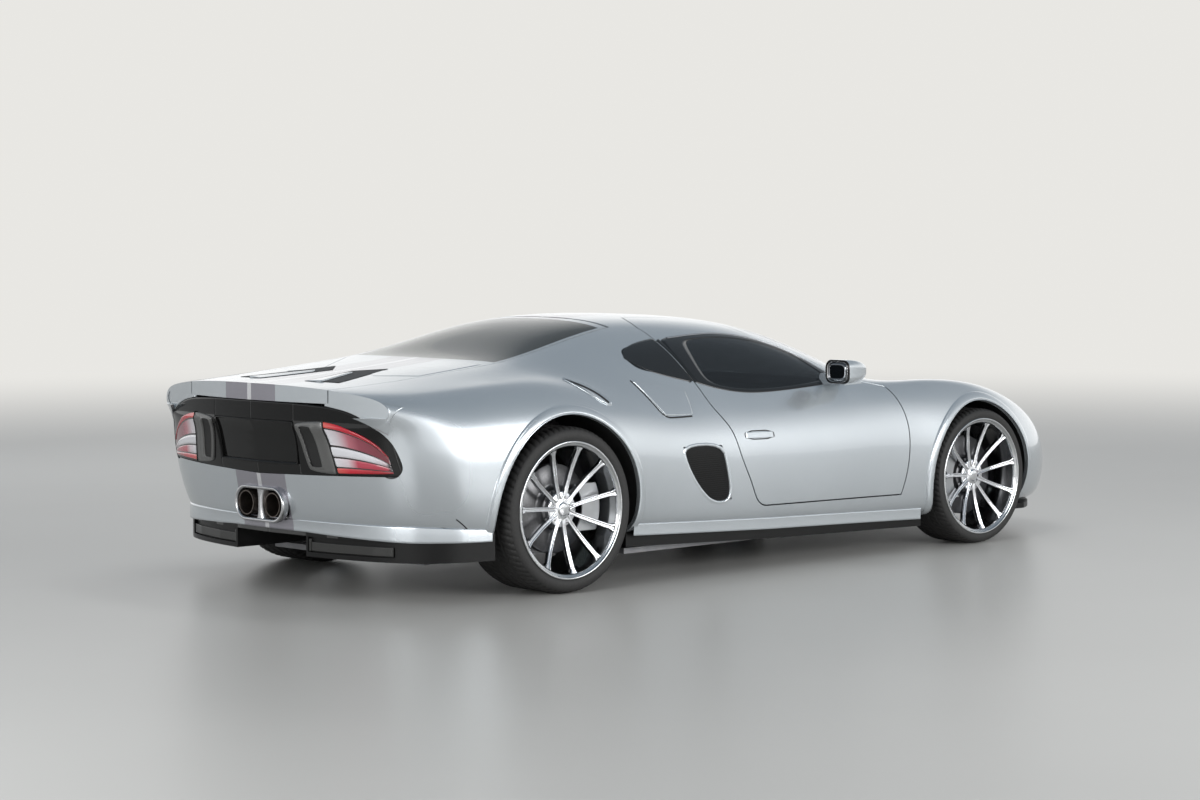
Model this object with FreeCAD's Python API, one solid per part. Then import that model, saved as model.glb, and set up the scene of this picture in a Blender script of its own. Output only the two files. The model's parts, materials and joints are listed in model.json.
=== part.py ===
import FreeCAD, Part
import math
import os

from FreeCAD import Vector

# A low two-seat mid-engined coupe at full size, in millimetres.
# +X is forward, +Y is the car's left, +Z is up. The origin lies on the ground below the middle of
# the bodywork. Each side piece is made for the right side (negative Y) and mirrored for the left.

# Driving dimensions of the whole car.
wheelbase = 2710.0
front_overhang = 930.0
rear_overhang = 951.0
half_width = 990.0
roof_height = 1130.0

rear_axle_x = rear_overhang - (wheelbase + front_overhang + rear_overhang) / 2.0
front_axle_x = rear_axle_x + wheelbase

# Panels, glass and the gaps between them.
panel_thickness = 14.0
glass_thickness = 5.0
shut_gap = 6.0
hinge_gap = 18.0
running_gap = 0.3
overrun = 400.0

# Wheels and tyres, front then rear.
front_tyre_radius = 325.0
front_tyre_width = 252.0
front_rim_radius = 271.5
rear_tyre_radius = 352.0
rear_tyre_width = 318.0
rear_rim_radius = 284.0
front_wheel_face_y = 950.0
rear_wheel_face_y = 970.0
front_arch_radius = 366.0
rear_arch_radius = 404.0
front_liner_radius = 386.0
rear_liner_radius = 424.0
liner_thickness = 4.0

# Arch lips, floor and walls.
arch_lip_height = 7.0
arch_lip_width = 34.0
arch_lip_room = 1.0
floor_bottom_z = 118.0
floor_thickness = 24.0
floor_edge_y = 800.0
floor_core_y = 515.0
firewall_top_z = 700.0
wall_thickness = 20.0
bulkhead_x = rear_axle_x + 600.0
bulkhead_top_z = 930.0
front_liner_y = 525.0
rear_liner_y = 600.0
liner_window_share = 0.72

# Doors and hinges.
door_inner_y = 852.0
door_inner_top_z = 770.0
door_hinge_x = rear_axle_x + 2230.0
door_hinge_y = 900.0
door_hinge_z = (400.0, 590.0)
hinge_pin_radius = 6.0
hinge_eye_radius = 12.0
hinge_width = 24.0
hinge_strap = 8.0
hinge_neck_reach = 50.0
hinge_strap_share = 0.780
# Height, and radius about the hinge, of the cut that lets the door turn past the edge ahead of it.
door_turn_profile = ((262.0, 97.5), (300.0, 88.9), (350.0, 77.6), (400.0, 69.8), (450.0, 64.6),
                     (520.0, 59.2), (600.0, 54.1), (640.0, 54.1))
lid_pin_radius = 4.0
lid_eye_radius = 8.0
lid_hinge_x = rear_axle_x + 701.0
lid_hinge_y = 120.0
lid_hinge_z = 1107.0
hinge_reach = 40.0
bonnet_hinge_x = rear_axle_x + 2306.0
bonnet_hinge_y = 640.0
bonnet_hinge_z = 770.0

# Tail panel, lamps, intakes and exhaust.
fascia_depth = 12.0
fascia_thickness = 10.0
fascia_ledge_z = 732.0
ear_bottom_z = 768.0
lamp_depth = 4.0
mesh_depth = 8.0
mesh_thickness = 8.0
pipe_radius = 52.0
pipe_wall = 4.0
pipe_y = 91.0
pipe_z = 377.0
pipe_rear_x = rear_axle_x - 905.0
silencer_x = rear_axle_x - 640.0
silencer_length = 220.0
silencer_half_width = 300.0
silencer_height = 170.0
pipe_insertion = 30.0
bezel_wall = 12.0
bezel_sink = 30.0
bezel_half_height = 74.0
bezel_half_width = 168.0
bezel_front_x = rear_axle_x - 820.0

# Skirts, splitter and diffuser.
skirt_outer_y = 886.0
splitter_bottom_z = 124.0
splitter_thickness = 26.0
diffuser_bottom_z = 168.0
diffuser_wall = 24.0
diffuser_plate = 14.0
diffuser_recess = 15.0
diffuser_recess_z = (188.0, 252.0)
diffuser_recess_y = 700.0
diffuser_tunnel_y = 240.0
diffuser_tunnel_z = 260.0
tunnel_wall = 12.0

# Cabin and machinery.
seat_x = rear_axle_x + 1080.0
seat_y = 360.0
seat_width = 500.0
seat_length = 520.0
seat_cushion_height = 170.0
seat_back_height = 520.0
seat_back_thickness = 130.0
seat_back_lean = 18.0
seat_pan_share = 0.62
seat_back_share = 0.86
seat_dish_share = 0.72
dash_half_width = 760.0
steering_boss_radius = 45.0
steering_boss_length = 50.0
steering_spoke_width = 34.0
steering_spoke_thickness = 16.0
steering_spoke_angles = (90.0, 210.0, 330.0)
column_length = 330.0
mirror_rear_x = rear_axle_x + 1668.0
mirror_y = 955.0
mirror_z = 868.0
mirror_length = 162.0
mirror_half_breadth = 74.0
mirror_half_height = 55.0
mirror_corner_share = 0.62
mirror_foot_y = 790.0
right_angle = 90.0
full_turn = 360.0
up = Vector(0, 0, 1)
across = Vector(0, 1, 0)
shift_room = 500.0
round_share = 1.0 - math.sqrt(0.5)
steering_wheel_radius = 178.0
steering_wheel_rim = 15.0
steering_wheel_x = rear_axle_x + 1610.0
steering_wheel_z = 720.0
steering_lean = 24.0
column_radius = 22.0
engine_length = 490.0
engine_half_width = 290.0
engine_height = 470.0
gearbox_length = 430.0
gearbox_half_width = 170.0
gearbox_height = 300.0

# Hubs, knuckles and suspension.
hub_radius = 78.0
hub_length = 66.0
spindle_radius = 26.0
rim_wall = 7.0
rim_lip = 14.0
spoke_count = 11
spoke_root_width = 30.0
spoke_tip_width = 20.0
spoke_root_thickness = 30.0
spoke_tip_thickness = 34.0
lug_count = 5
lug_circle_radius = 57.0
lug_hole_radius = 12.0
lug_hole_depth = 26.0
dish_depth = 58.0
hub_cap_thickness = 14.0
spoke_root_share = 0.85
spoke_phase_share = 0.37
bracket_share = 0.75
disc_radius = 190.0
disc_thickness = 32.0
disc_clearance = 8.0
caliper_width = 62.0
caliper_arc = 52.0
caliper_outer_radius = 228.0
caliper_inner_radius = 128.0
kingpin_y = 790.0
kingpin_radius = 11.0
ball_joint_z = 105.0
arm_thickness = 20.0
arm_half_width = 30.0
arm_spread = 96.0
subframe_y = 500.0
subframe_bar = 40.0
upright_half_length = 36.0

# The lofting tables: one line for each station, from the tail to the nose. A station's first six
# points run up the side and the others cross the top. Lengths are shares of the wheelbase,
# breadths of half the width and heights of the roof's height.
loft_station_shares = [
    (-0.351, -0.397), (-0.347, -0.391), (-0.332, -0.376), (-0.310, -0.352), (-0.283, -0.321),
    (-0.249, -0.282), (-0.207, -0.221), (-0.148, -0.148), (-0.074, -0.074), (0.000, 0.000),
    (0.074, 0.074), (0.148, 0.148), (0.221, 0.221), (0.295, 0.295), (0.369, 0.369), (0.443, 0.443),
    (0.517, 0.517), (0.590, 0.590), (0.664, 0.664), (0.738, 0.738), (0.793, 0.793), (0.849, 0.849),
    (0.904, 0.904), (0.978, 0.978), (1.052, 1.052), (1.125, 1.125), (1.192, 1.188), (1.244, 1.244),
    (1.284, 1.292), (1.314, 1.332), (1.328, 1.365), (1.333, 1.380),
]
loft_breadth_shares = [
    (0.000, 0.000, 0.000, 0.000, 0.000, 0.000, 0.000, 0.000, 0.000, 0.000, 0.000, 0.000),
    (0.238, 0.269, 0.287, 0.297, 0.298, 0.289, 0.237, 0.217, 0.192, 0.152, 0.076, 0.000),
    (0.430, 0.486, 0.518, 0.537, 0.539, 0.522, 0.455, 0.424, 0.374, 0.293, 0.152, 0.000),
    (0.599, 0.678, 0.721, 0.748, 0.750, 0.726, 0.657, 0.606, 0.525, 0.404, 0.212, 0.000),
    (0.687, 0.777, 0.827, 0.859, 0.861, 0.834, 0.773, 0.702, 0.596, 0.444, 0.232, 0.000),
    (0.733, 0.830, 0.883, 0.916, 0.918, 0.889, 0.823, 0.732, 0.606, 0.444, 0.232, 0.000),
    (0.768, 0.869, 0.924, 0.960, 0.962, 0.931, 0.846, 0.732, 0.576, 0.404, 0.212, 0.000),
    (0.808, 0.909, 0.955, 0.985, 0.983, 0.947, 0.864, 0.737, 0.591, 0.414, 0.217, 0.000),
    (0.818, 0.919, 0.965, 0.995, 0.991, 0.952, 0.859, 0.729, 0.598, 0.424, 0.217, 0.000),
    (0.823, 0.924, 0.968, 0.998, 0.995, 0.952, 0.854, 0.735, 0.618, 0.485, 0.242, 0.000),
    (0.823, 0.924, 0.965, 0.993, 0.986, 0.937, 0.848, 0.747, 0.636, 0.495, 0.253, 0.000),
    (0.820, 0.921, 0.960, 0.980, 0.972, 0.934, 0.879, 0.798, 0.677, 0.510, 0.273, 0.000),
    (0.818, 0.919, 0.949, 0.960, 0.955, 0.924, 0.879, 0.820, 0.707, 0.525, 0.283, 0.000),
    (0.813, 0.914, 0.941, 0.949, 0.944, 0.914, 0.874, 0.825, 0.712, 0.535, 0.293, 0.000),
    (0.808, 0.909, 0.937, 0.944, 0.939, 0.909, 0.873, 0.828, 0.709, 0.540, 0.293, 0.000),
    (0.808, 0.909, 0.937, 0.944, 0.939, 0.911, 0.875, 0.834, 0.712, 0.540, 0.293, 0.000),
    (0.808, 0.909, 0.937, 0.944, 0.939, 0.911, 0.875, 0.836, 0.712, 0.533, 0.288, 0.000),
    (0.808, 0.909, 0.937, 0.944, 0.939, 0.911, 0.875, 0.838, 0.713, 0.523, 0.283, 0.000),
    (0.808, 0.909, 0.937, 0.945, 0.941, 0.913, 0.875, 0.836, 0.719, 0.525, 0.288, 0.000),
    (0.808, 0.911, 0.939, 0.947, 0.944, 0.915, 0.873, 0.820, 0.719, 0.535, 0.293, 0.000),
    (0.808, 0.914, 0.941, 0.952, 0.947, 0.917, 0.867, 0.793, 0.697, 0.525, 0.293, 0.000),
    (0.808, 0.919, 0.949, 0.962, 0.954, 0.917, 0.857, 0.770, 0.669, 0.505, 0.283, 0.000),
    (0.808, 0.924, 0.965, 0.981, 0.969, 0.920, 0.853, 0.761, 0.652, 0.480, 0.258, 0.000),
    (0.803, 0.925, 0.973, 0.994, 0.976, 0.917, 0.842, 0.747, 0.632, 0.460, 0.244, 0.000),
    (0.776, 0.909, 0.967, 0.992, 0.969, 0.905, 0.818, 0.717, 0.608, 0.439, 0.227, 0.000),
    (0.723, 0.869, 0.935, 0.965, 0.937, 0.870, 0.773, 0.670, 0.561, 0.404, 0.207, 0.000),
    (0.657, 0.798, 0.869, 0.898, 0.870, 0.808, 0.712, 0.610, 0.505, 0.364, 0.184, 0.000),
    (0.596, 0.727, 0.788, 0.813, 0.790, 0.729, 0.640, 0.545, 0.449, 0.323, 0.162, 0.000),
    (0.515, 0.636, 0.697, 0.719, 0.697, 0.638, 0.554, 0.471, 0.386, 0.278, 0.139, 0.000),
    (0.394, 0.485, 0.535, 0.554, 0.535, 0.485, 0.424, 0.354, 0.293, 0.207, 0.101, 0.000),
    (0.202, 0.253, 0.278, 0.288, 0.278, 0.253, 0.222, 0.187, 0.152, 0.106, 0.053, 0.000),
    (0.000, 0.000, 0.000, 0.000, 0.000, 0.000, 0.000, 0.000, 0.000, 0.000, 0.000, 0.000),
]
loft_height_shares = [
    (0.265, 0.265, 0.301, 0.416, 0.540, 0.650, 0.742, 0.766, 0.775, 0.784, 0.787, 0.787),
    (0.265, 0.265, 0.301, 0.416, 0.540, 0.649, 0.736, 0.763, 0.773, 0.783, 0.787, 0.787),
    (0.262, 0.262, 0.299, 0.416, 0.540, 0.644, 0.727, 0.758, 0.770, 0.782, 0.787, 0.787),
    (0.253, 0.253, 0.296, 0.416, 0.542, 0.639, 0.715, 0.750, 0.766, 0.781, 0.788, 0.788),
    (0.243, 0.243, 0.292, 0.416, 0.543, 0.641, 0.719, 0.752, 0.768, 0.782, 0.790, 0.790),
    (0.232, 0.232, 0.288, 0.416, 0.547, 0.657, 0.736, 0.761, 0.774, 0.786, 0.794, 0.794),
    (0.221, 0.221, 0.283, 0.416, 0.553, 0.677, 0.754, 0.770, 0.786, 0.798, 0.805, 0.805),
    (0.211, 0.211, 0.283, 0.425, 0.571, 0.699, 0.773, 0.785, 0.800, 0.814, 0.820, 0.820),
    (0.204, 0.204, 0.283, 0.434, 0.584, 0.712, 0.782, 0.798, 0.818, 0.832, 0.837, 0.837),
    (0.199, 0.199, 0.283, 0.442, 0.593, 0.719, 0.781, 0.805, 0.832, 0.848, 0.853, 0.853),
    (0.196, 0.196, 0.283, 0.442, 0.588, 0.699, 0.754, 0.789, 0.839, 0.887, 0.899, 0.899),
    (0.195, 0.195, 0.283, 0.434, 0.566, 0.655, 0.708, 0.761, 0.845, 0.927, 0.950, 0.950),
    (0.190, 0.190, 0.274, 0.416, 0.531, 0.615, 0.674, 0.742, 0.841, 0.956, 0.987, 0.987),
    (0.181, 0.181, 0.265, 0.407, 0.522, 0.604, 0.668, 0.730, 0.850, 0.966, 1.003, 1.003),
    (0.173, 0.173, 0.257, 0.398, 0.513, 0.598, 0.662, 0.719, 0.857, 0.967, 1.004, 1.004),
    (0.165, 0.165, 0.252, 0.394, 0.509, 0.595, 0.657, 0.710, 0.851, 0.962, 0.997, 0.997),
    (0.161, 0.161, 0.248, 0.389, 0.504, 0.593, 0.655, 0.708, 0.841, 0.949, 0.986, 0.986),
    (0.156, 0.156, 0.244, 0.386, 0.503, 0.593, 0.657, 0.708, 0.819, 0.922, 0.962, 0.962),
    (0.150, 0.150, 0.239, 0.382, 0.501, 0.595, 0.662, 0.712, 0.783, 0.873, 0.919, 0.919),
    (0.145, 0.145, 0.235, 0.379, 0.501, 0.600, 0.673, 0.713, 0.739, 0.803, 0.854, 0.854),
    (0.142, 0.142, 0.230, 0.376, 0.504, 0.611, 0.687, 0.713, 0.713, 0.738, 0.788, 0.788),
    (0.138, 0.138, 0.230, 0.381, 0.518, 0.630, 0.699, 0.710, 0.688, 0.690, 0.717, 0.717),
    (0.135, 0.135, 0.230, 0.381, 0.529, 0.646, 0.707, 0.710, 0.673, 0.658, 0.665, 0.665),
    (0.133, 0.133, 0.227, 0.375, 0.531, 0.650, 0.702, 0.697, 0.655, 0.630, 0.632, 0.632),
    (0.133, 0.133, 0.222, 0.365, 0.519, 0.632, 0.678, 0.668, 0.624, 0.599, 0.598, 0.598),
    (0.133, 0.133, 0.215, 0.354, 0.494, 0.595, 0.633, 0.619, 0.580, 0.556, 0.550, 0.550),
    (0.133, 0.133, 0.207, 0.335, 0.460, 0.544, 0.581, 0.566, 0.531, 0.507, 0.502, 0.502),
    (0.133, 0.133, 0.201, 0.319, 0.425, 0.492, 0.527, 0.515, 0.485, 0.464, 0.458, 0.458),
    (0.133, 0.133, 0.195, 0.303, 0.389, 0.439, 0.469, 0.460, 0.435, 0.420, 0.416, 0.416),
    (0.133, 0.133, 0.190, 0.288, 0.356, 0.389, 0.412, 0.407, 0.389, 0.381, 0.377, 0.377),
    (0.133, 0.133, 0.186, 0.276, 0.329, 0.352, 0.365, 0.363, 0.354, 0.350, 0.348, 0.348),
    (0.133, 0.133, 0.184, 0.270, 0.319, 0.338, 0.350, 0.350, 0.343, 0.341, 0.339, 0.339),
]

# How far each row of the side leans forward at the tail, as a share of the wheelbase, and how
# much of that lean the last stations take.
tail_lean_shares = (0.035, 0.033, 0.028, 0.018, 0.010, 0.003, 0.0, 0.0, 0.0, 0.0, 0.0, 0.0)
tail_fade_shares = (1.0, 1.0, 1.0, 1.0, 1.0, 1.0, 0.3)
side_rows = 6
degree = 3

# Bow of the tail's lip and of the nose's edge in plan, and the heights that they start at.
tail_bow_radius = 2500.0
nose_bow_radius = 1900.0
tail_lip_bottom_z = 806.0
nose_lip_bottom_z = 372.0
nose_fill_share = 4.0


def x_at(share):
    return rear_axle_x + share * wheelbase


def y_at(share):
    return share * half_width


def z_at(share):
    return share * roof_height


def box(x0, x1, y0, y1, z0, z1):
    return Part.makeBox(x1 - x0, y1 - y0, z1 - z0, Vector(x0, y0, z0))


def mirrored(shape):
    return shape.mirror(Vector(0, 0, 0), Vector(0, 1, 0))


def both_sides(shape):
    return Part.makeCompound(solids_of(shape) + solids_of(mirrored(shape)))


def solids_of(shape):
    """The solids of a shape that are more than a sliver."""
    return [s for s in shape.Solids if s.Volume > sliver_volume]


def largest(shape):
    return max(shape.Solids, key=lambda s: s.Volume)


def joined_halves(half):
    """Fuses a right half with its mirror image across the middle plane."""
    whole = half.fuse(mirrored(half)).removeSplitter()
    return largest(whole)


sliver_volume = 2000.0


def knots_of(count):
    inner = count - degree
    knots = [i / inner for i in range(inner + 1)]
    mults = [degree + 1] + [1] * (inner - 1) + [degree + 1]
    return knots, mults


def surface_of(poles):
    u_knots, u_mults = knots_of(len(poles))
    v_knots, v_mults = knots_of(len(poles[0]))
    surface = Part.BSplineSurface()
    surface.buildFromPolesMultsKnots(
        poles, u_mults, v_mults, u_knots, v_knots, False, False, degree, degree
    )
    return surface


def outer_poles():
    """The control net of the right half: bottom centre line, then the twelve rows to the top."""
    net = []
    for k, (side_share, top_share) in enumerate(loft_station_shares):
        fade = tail_fade_shares[k] if k < len(tail_fade_shares) else 0
        column = []
        for j in range(len(tail_lean_shares)):
            along = side_share if j < side_rows else top_share
            x = x_at(along + tail_lean_shares[j] * fade)
            y = -y_at(loft_breadth_shares[k][j])
            column.append(Vector(x, y, z_at(loft_height_shares[k][j])))
        bottom = Vector(column[0].x, 0, column[0].z)
        net.append([bottom] + column)
    return net


def greville(count, index):
    knots, mults = knots_of(count)
    full = [k for k, m in zip(knots, mults) for _ in range(m)]
    return sum(full[index + 1 : index + 1 + degree]) / degree


def inset_poles(depth):
    """The same net moved inwards along the skin's normal, with its edges kept in the middle plane."""
    net = outer_poles()
    skin = surface_of(net)
    rows = len(net[0])
    moved = []
    for k, column in enumerate(net):
        u = min(max(greville(len(net), k), edge_share), 1 - edge_share)
        line = []
        for j, pole in enumerate(column):
            v = min(max(greville(rows, j), edge_share), 1 - edge_share)
            normal = skin.normal(u, v)
            if normal.dot(pole - heart) < 0:
                normal = -normal
            target = pole - normal * depth
            on_middle = k in (0, len(net) - 1) or j in (0, rows - 1)
            line.append(Vector(target.x, 0 if on_middle else min(target.y, 0), target.z))
        moved.append(line)
    return moved


edge_share = 0.004
heart = Vector(0, 0, z_at(0.42))


def half_solid(depth):
    """The right half of the body, inset by a depth, closed by its middle plane."""
    poles = inset_poles(depth) if depth else outer_poles()
    face = surface_of(poles).toShape()
    rim = Part.Wire(Part.__sortEdges__(face.Edges))
    shell = Part.Shell([face, Part.Face(rim)])
    shell.sewShape()
    solid = Part.Solid(shell)
    if solid.Volume < 0:
        solid.reverse()
    return solid


def wire_of(points_by_run, place):
    """A closed wire of runs: two points make a straight edge, more make a smooth curve."""
    edges = []
    for run in points_by_run:
        points = [place(a, b) for a, b in run]
        if len(points) == 2:
            edges.append(Part.makeLine(points[0], points[1]))
        else:
            curve = Part.BSplineCurve()
            curve.interpolate(points)
            edges.append(curve.toShape())
    return Part.Wire(edges)


def closed(points):
    """Straight runs round a polygon of points."""
    return [[points[i], points[(i + 1) % len(points)]] for i in range(len(points))]


def plain_edge(edge):
    """The edge, with an offset curve turned into a spline that every STEP reader knows."""
    return edge if edge.Curve.TypeId == "Part::GeomLine" else edge.toNurbs().Edges[0]


def face_of(runs, place, shrink):
    face = Part.Face(wire_of(runs, place))
    if shrink:
        offset = face.makeOffset2D(-shrink, 0, False, False, False)
        edges = [plain_edge(edge) for edge in offset.OuterWire.OrderedEdges]
        face = Part.Face(Part.Wire(edges))
    return face


def side_prism(runs, shrink=0.0, y0=-half_width - overrun, y1=0.0):
    """A prism along Y from an outline in side view, given in shares."""
    face = face_of(runs, lambda a, b: Vector(x_at(a), y0, z_at(b)), shrink)
    return face.extrude(Vector(0, y1 - y0, 0))


def plan_prism(runs, shrink=0.0, z0=0.0, z1=roof_height + overrun):
    """A prism along Z from an outline in plan on the right side, given in shares."""
    face = face_of(runs, lambda a, b: Vector(x_at(a), -y_at(b), z0), shrink)
    return face.extrude(Vector(0, 0, z1 - z0))


def rear_prism(runs, x0, x1, shrink=0.0):
    """A prism along X from an outline in rear view on the right side, given in shares."""
    face = face_of(runs, lambda a, b: Vector(x0, -y_at(a), z_at(b)), shrink)
    return face.extrude(Vector(x1 - x0, 0, 0))


def cylinder_y(x, z, radius, y0, y1):
    return Part.makeCylinder(radius, y1 - y0, Vector(x, y0, z), Vector(0, 1, 0))


# Outlines in side view: shares of the wheelbase from the rear axle, and of the roof's height.
door_side_shares = [
    [(0.453, 0.249), (0.790, 0.239)],
    [(0.790, 0.239), (0.803, 0.342), (0.809, 0.455), (0.808, 0.535), (0.797, 0.632), (0.783, 0.690)],
    [(0.783, 0.690), (0.768, 0.713), (0.735, 0.722)],
    [(0.735, 0.722), (0.735, 1.300)],
    [(0.735, 1.300), (0.309, 1.300)],
    [(0.309, 1.300), (0.309, 0.950)],
    [(0.309, 0.950), (0.312, 0.860), (0.331, 0.750), (0.344, 0.661), (0.372, 0.569), (0.390, 0.462),
     (0.418, 0.330), (0.430, 0.278), (0.453, 0.249)],
]
# The door in plan, where it turns in over the roof.
door_plan_shares = [
    [(0.309, 1.300), (0.309, 0.500)],
    [(0.309, 0.500), (0.322, 0.400), (0.339, 0.310)],
    [(0.339, 0.310), (0.500, 0.310)],
    [(0.500, 0.310), (0.530, 0.385), (0.555, 0.508)],
    [(0.555, 0.508), (0.590, 0.566), (0.627, 0.621), (0.664, 0.679), (0.701, 0.742), (0.735, 0.800)],
    [(0.735, 0.800), (0.790, 0.852)],
    [(0.790, 0.852), (0.900, 0.860)],
    [(0.900, 0.860), (0.900, 1.300)],
    [(0.900, 1.300), (0.309, 1.300)],
]
door_glass_shares = [
    [(0.336, 0.756), (0.360, 0.735), (0.412, 0.708), (0.470, 0.700), (0.560, 0.707), (0.640, 0.718),
     (0.672, 0.728)],
    [(0.672, 0.728), (0.650, 0.770), (0.634, 0.814), (0.588, 0.872), (0.525, 0.910), (0.430, 0.925),
     (0.380, 0.922), (0.345, 0.913)],
    [(0.345, 0.913), (0.336, 0.756)],
]
quarter_glass_shares = [
    [(0.217, 0.846), (0.219, 0.868), (0.240, 0.890), (0.270, 0.903), (0.300, 0.912)],
    [(0.300, 0.912), (0.302, 0.860), (0.320, 0.760)],
    [(0.320, 0.760), (0.300, 0.768), (0.250, 0.796), (0.224, 0.818), (0.217, 0.846)],
]
side_grille_shares = [
    [(0.254, 0.512), (0.346, 0.507)],
    [(0.346, 0.507), (0.358, 0.450), (0.366, 0.370), (0.369, 0.290)],
    [(0.369, 0.290), (0.330, 0.284)],
    [(0.330, 0.284), (0.295, 0.340), (0.266, 0.430), (0.254, 0.512)],
]

# Outlines in plan: shares of the wheelbase from the rear axle, and of half the width.
lid_shares = [
    [(-0.420, -0.050), (0.262, -0.050)],
    [(0.262, -0.050), (0.262, 0.455)],
    [(0.262, 0.455), (0.240, 0.463), (0.120, 0.490), (0.010, 0.503)],
    [(0.010, 0.503), (-0.420, 0.479)],
    [(-0.420, 0.479), (-0.420, -0.050)],
]
rear_glass_shares = [
    [(-0.010, -0.050), (0.240, -0.050)],
    [(0.240, -0.050), (0.240, 0.443)],
    [(0.240, 0.443), (0.120, 0.470), (0.000, 0.483)],
    [(0.000, 0.483), (-0.008, 0.300), (-0.010, -0.050)],
]
windscreen_shares = [
    [(0.580, -0.050), (0.866, -0.050)],
    [(0.866, -0.050), (0.862, 0.200), (0.845, 0.430), (0.795, 0.690)],
    [(0.795, 0.690), (0.720, 0.640), (0.640, 0.545), (0.575, 0.455), (0.560, 0.400)],
    [(0.560, 0.400), (0.574, 0.200), (0.580, -0.050)],
]
bonnet_shares = [
    [(0.882, -0.050), (1.296, -0.050)],
    [(1.296, -0.050), (1.288, 0.220), (1.255, 0.420), (1.215, 0.520)],
    [(1.215, 0.520), (1.100, 0.600), (0.960, 0.655), (0.845, 0.700)],
    [(0.845, 0.700), (0.862, 0.430), (0.878, 0.200), (0.882, -0.050)],
]
deck_vent_shares = closed([(-0.160, 0.180), (-0.035, 0.455), (-0.150, 0.455), (-0.185, 0.300)])

# Outlines in rear view: shares of half the width and of the roof's height.
fascia_shares = [
    [(-0.050, 0.448), (0.500, 0.461), (0.720, 0.466)],
    [(0.720, 0.466), (0.775, 0.468), (0.795, 0.490), (0.790, 0.540), (0.765, 0.590), (0.712, 0.642),
     (0.640, 0.680), (0.542, 0.707)],
    [(0.542, 0.707), (0.300, 0.717), (-0.050, 0.717)],
    [(-0.050, 0.717), (-0.050, 0.448)],
]
lamp_shares = [
    [(0.475, 0.497), (0.740, 0.490)],
    [(0.740, 0.490), (0.768, 0.505), (0.735, 0.560), (0.640, 0.617), (0.452, 0.660)],
    [(0.452, 0.660), (0.475, 0.497)],
]
front_grille_shares = [
    [(-0.050, 0.165), (0.480, 0.165)],
    [(0.480, 0.165), (0.560, 0.200), (0.520, 0.262), (0.440, 0.292)],
    [(0.440, 0.292), (-0.050, 0.300)],
    [(-0.050, 0.300), (-0.050, 0.165)],
]
headlamp_shares = [
    [(1.130, 0.745), (1.180, 0.800), (1.235, 0.760), (1.255, 0.680)],
    [(1.255, 0.680), (1.215, 0.610), (1.165, 0.620), (1.130, 0.745)],
]

dash_side_shares = closed([(0.668, 0.560), (0.700, 0.630), (0.790, 0.665), (0.838, 0.600), (0.838, 0.440),
                           (0.700, 0.430)])
mirror_taper_shares = ((0.0, 1.0), (0.25, 0.99), (0.55, 0.88), (0.80, 0.68), (1.0, 0.40))
mirror_foot_shares = closed([(0.632, 0.712), (0.676, 0.716), (0.664, 0.756), (0.638, 0.756)])
tyre_profile_shares = ((0.0, 0.80), (0.06, 0.94), (0.40, 1.00), (0.72, 0.98), (0.93, 0.88), (1.0, 0.72))

# The skirt, splitter and diffuser.
skirt_shares = closed([(0.144, 0.142), (0.490, 0.112), (0.860, 0.095), (0.860, 0.180), (0.144, 0.232)])
splitter_shares = [
    [(1.130, -0.050), (1.343, -0.050)],
    [(1.343, -0.050), (1.334, 0.250), (1.300, 0.520), (1.250, 0.690), (1.190, 0.800)],
    [(1.190, 0.800), (1.130, 0.800)],
    [(1.130, 0.800), (1.130, -0.050)],
]
diffuser_shares = [
    [(-0.160, -0.050), (-0.316, -0.050)],
    [(-0.316, -0.050), (-0.312, 0.202), (-0.3035, 0.404), (-0.287, 0.606), (-0.2745, 0.697),
     (-0.2525, 0.793), (-0.216, 0.875), (-0.1845, 0.905), (-0.142, 0.925)],
    [(-0.142, 0.925), (-0.142, 0.560)],
    [(-0.142, 0.560), (-0.160, 0.560)],
    [(-0.160, 0.560), (-0.160, -0.050)],
]

# Planes that part the fixed panels.
bumper_split_x = x_at(-0.205)
bumper_split_z = z_at(0.520)
roof_split_x = x_at(0.262) - shut_gap / 2.0
roof_split_y = -y_at(0.460)
pillar_split_x = x_at(0.470)
pillar_split_z = z_at(0.550)
fender_split_x = x_at(0.815)
nose_split_x = x_at(1.150)


def behind_bow(shift, low_z):
    """What lies behind the tail's bow, moved forward by a shift, from a height upwards."""
    centre_x = rear_axle_x - rear_overhang + shift + tail_bow_radius
    bow = Part.makeCylinder(tail_bow_radius, 2 * overrun, Vector(centre_x, 0, low_z))
    block = box(rear_axle_x - rear_overhang - overrun, rear_axle_x - shift_room, -half_width - overrun, 0,
                low_z, tail_lip_bottom_z + overrun)
    return block.cut(bow)


def tail_cutter(shift=0.0):
    """What lies behind the bowed lip of the tail, above the lip's lower edge."""
    return behind_bow(shift, tail_lip_bottom_z + shift)


def nose_cutter(shift=0.0):
    """What lies ahead of the bowed edge of the nose, above the edge's lower side."""
    centre_x = front_axle_x + front_overhang - shift * nose_fill_share - nose_bow_radius
    low_z = nose_lip_bottom_z - max(shift, 0)
    bow = Part.makeCylinder(nose_bow_radius, 2 * overrun, Vector(centre_x, 0, low_z))
    block = box(front_axle_x + shift_room, front_axle_x + front_overhang + overrun, -half_width - overrun, 0,
                low_z, low_z + overrun)
    return block.cut(bow)


trimmed = {}


def body_at(depth):
    """The right half of the body at a depth under the skin, with its tail and nose edges cut."""
    if depth not in trimmed:
        trimmed[depth] = half_solid(depth).cut(tail_cutter(depth)).cut(nose_cutter(depth))
    return trimmed[depth]


def layer(zone, top, bottom):
    """What a zone holds of the skin between two depths."""
    return body_at(top).common(zone).cut(body_at(bottom))


outer = body_at(0.0)
inner = body_at(panel_thickness)
skin = outer.cut(inner)

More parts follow.
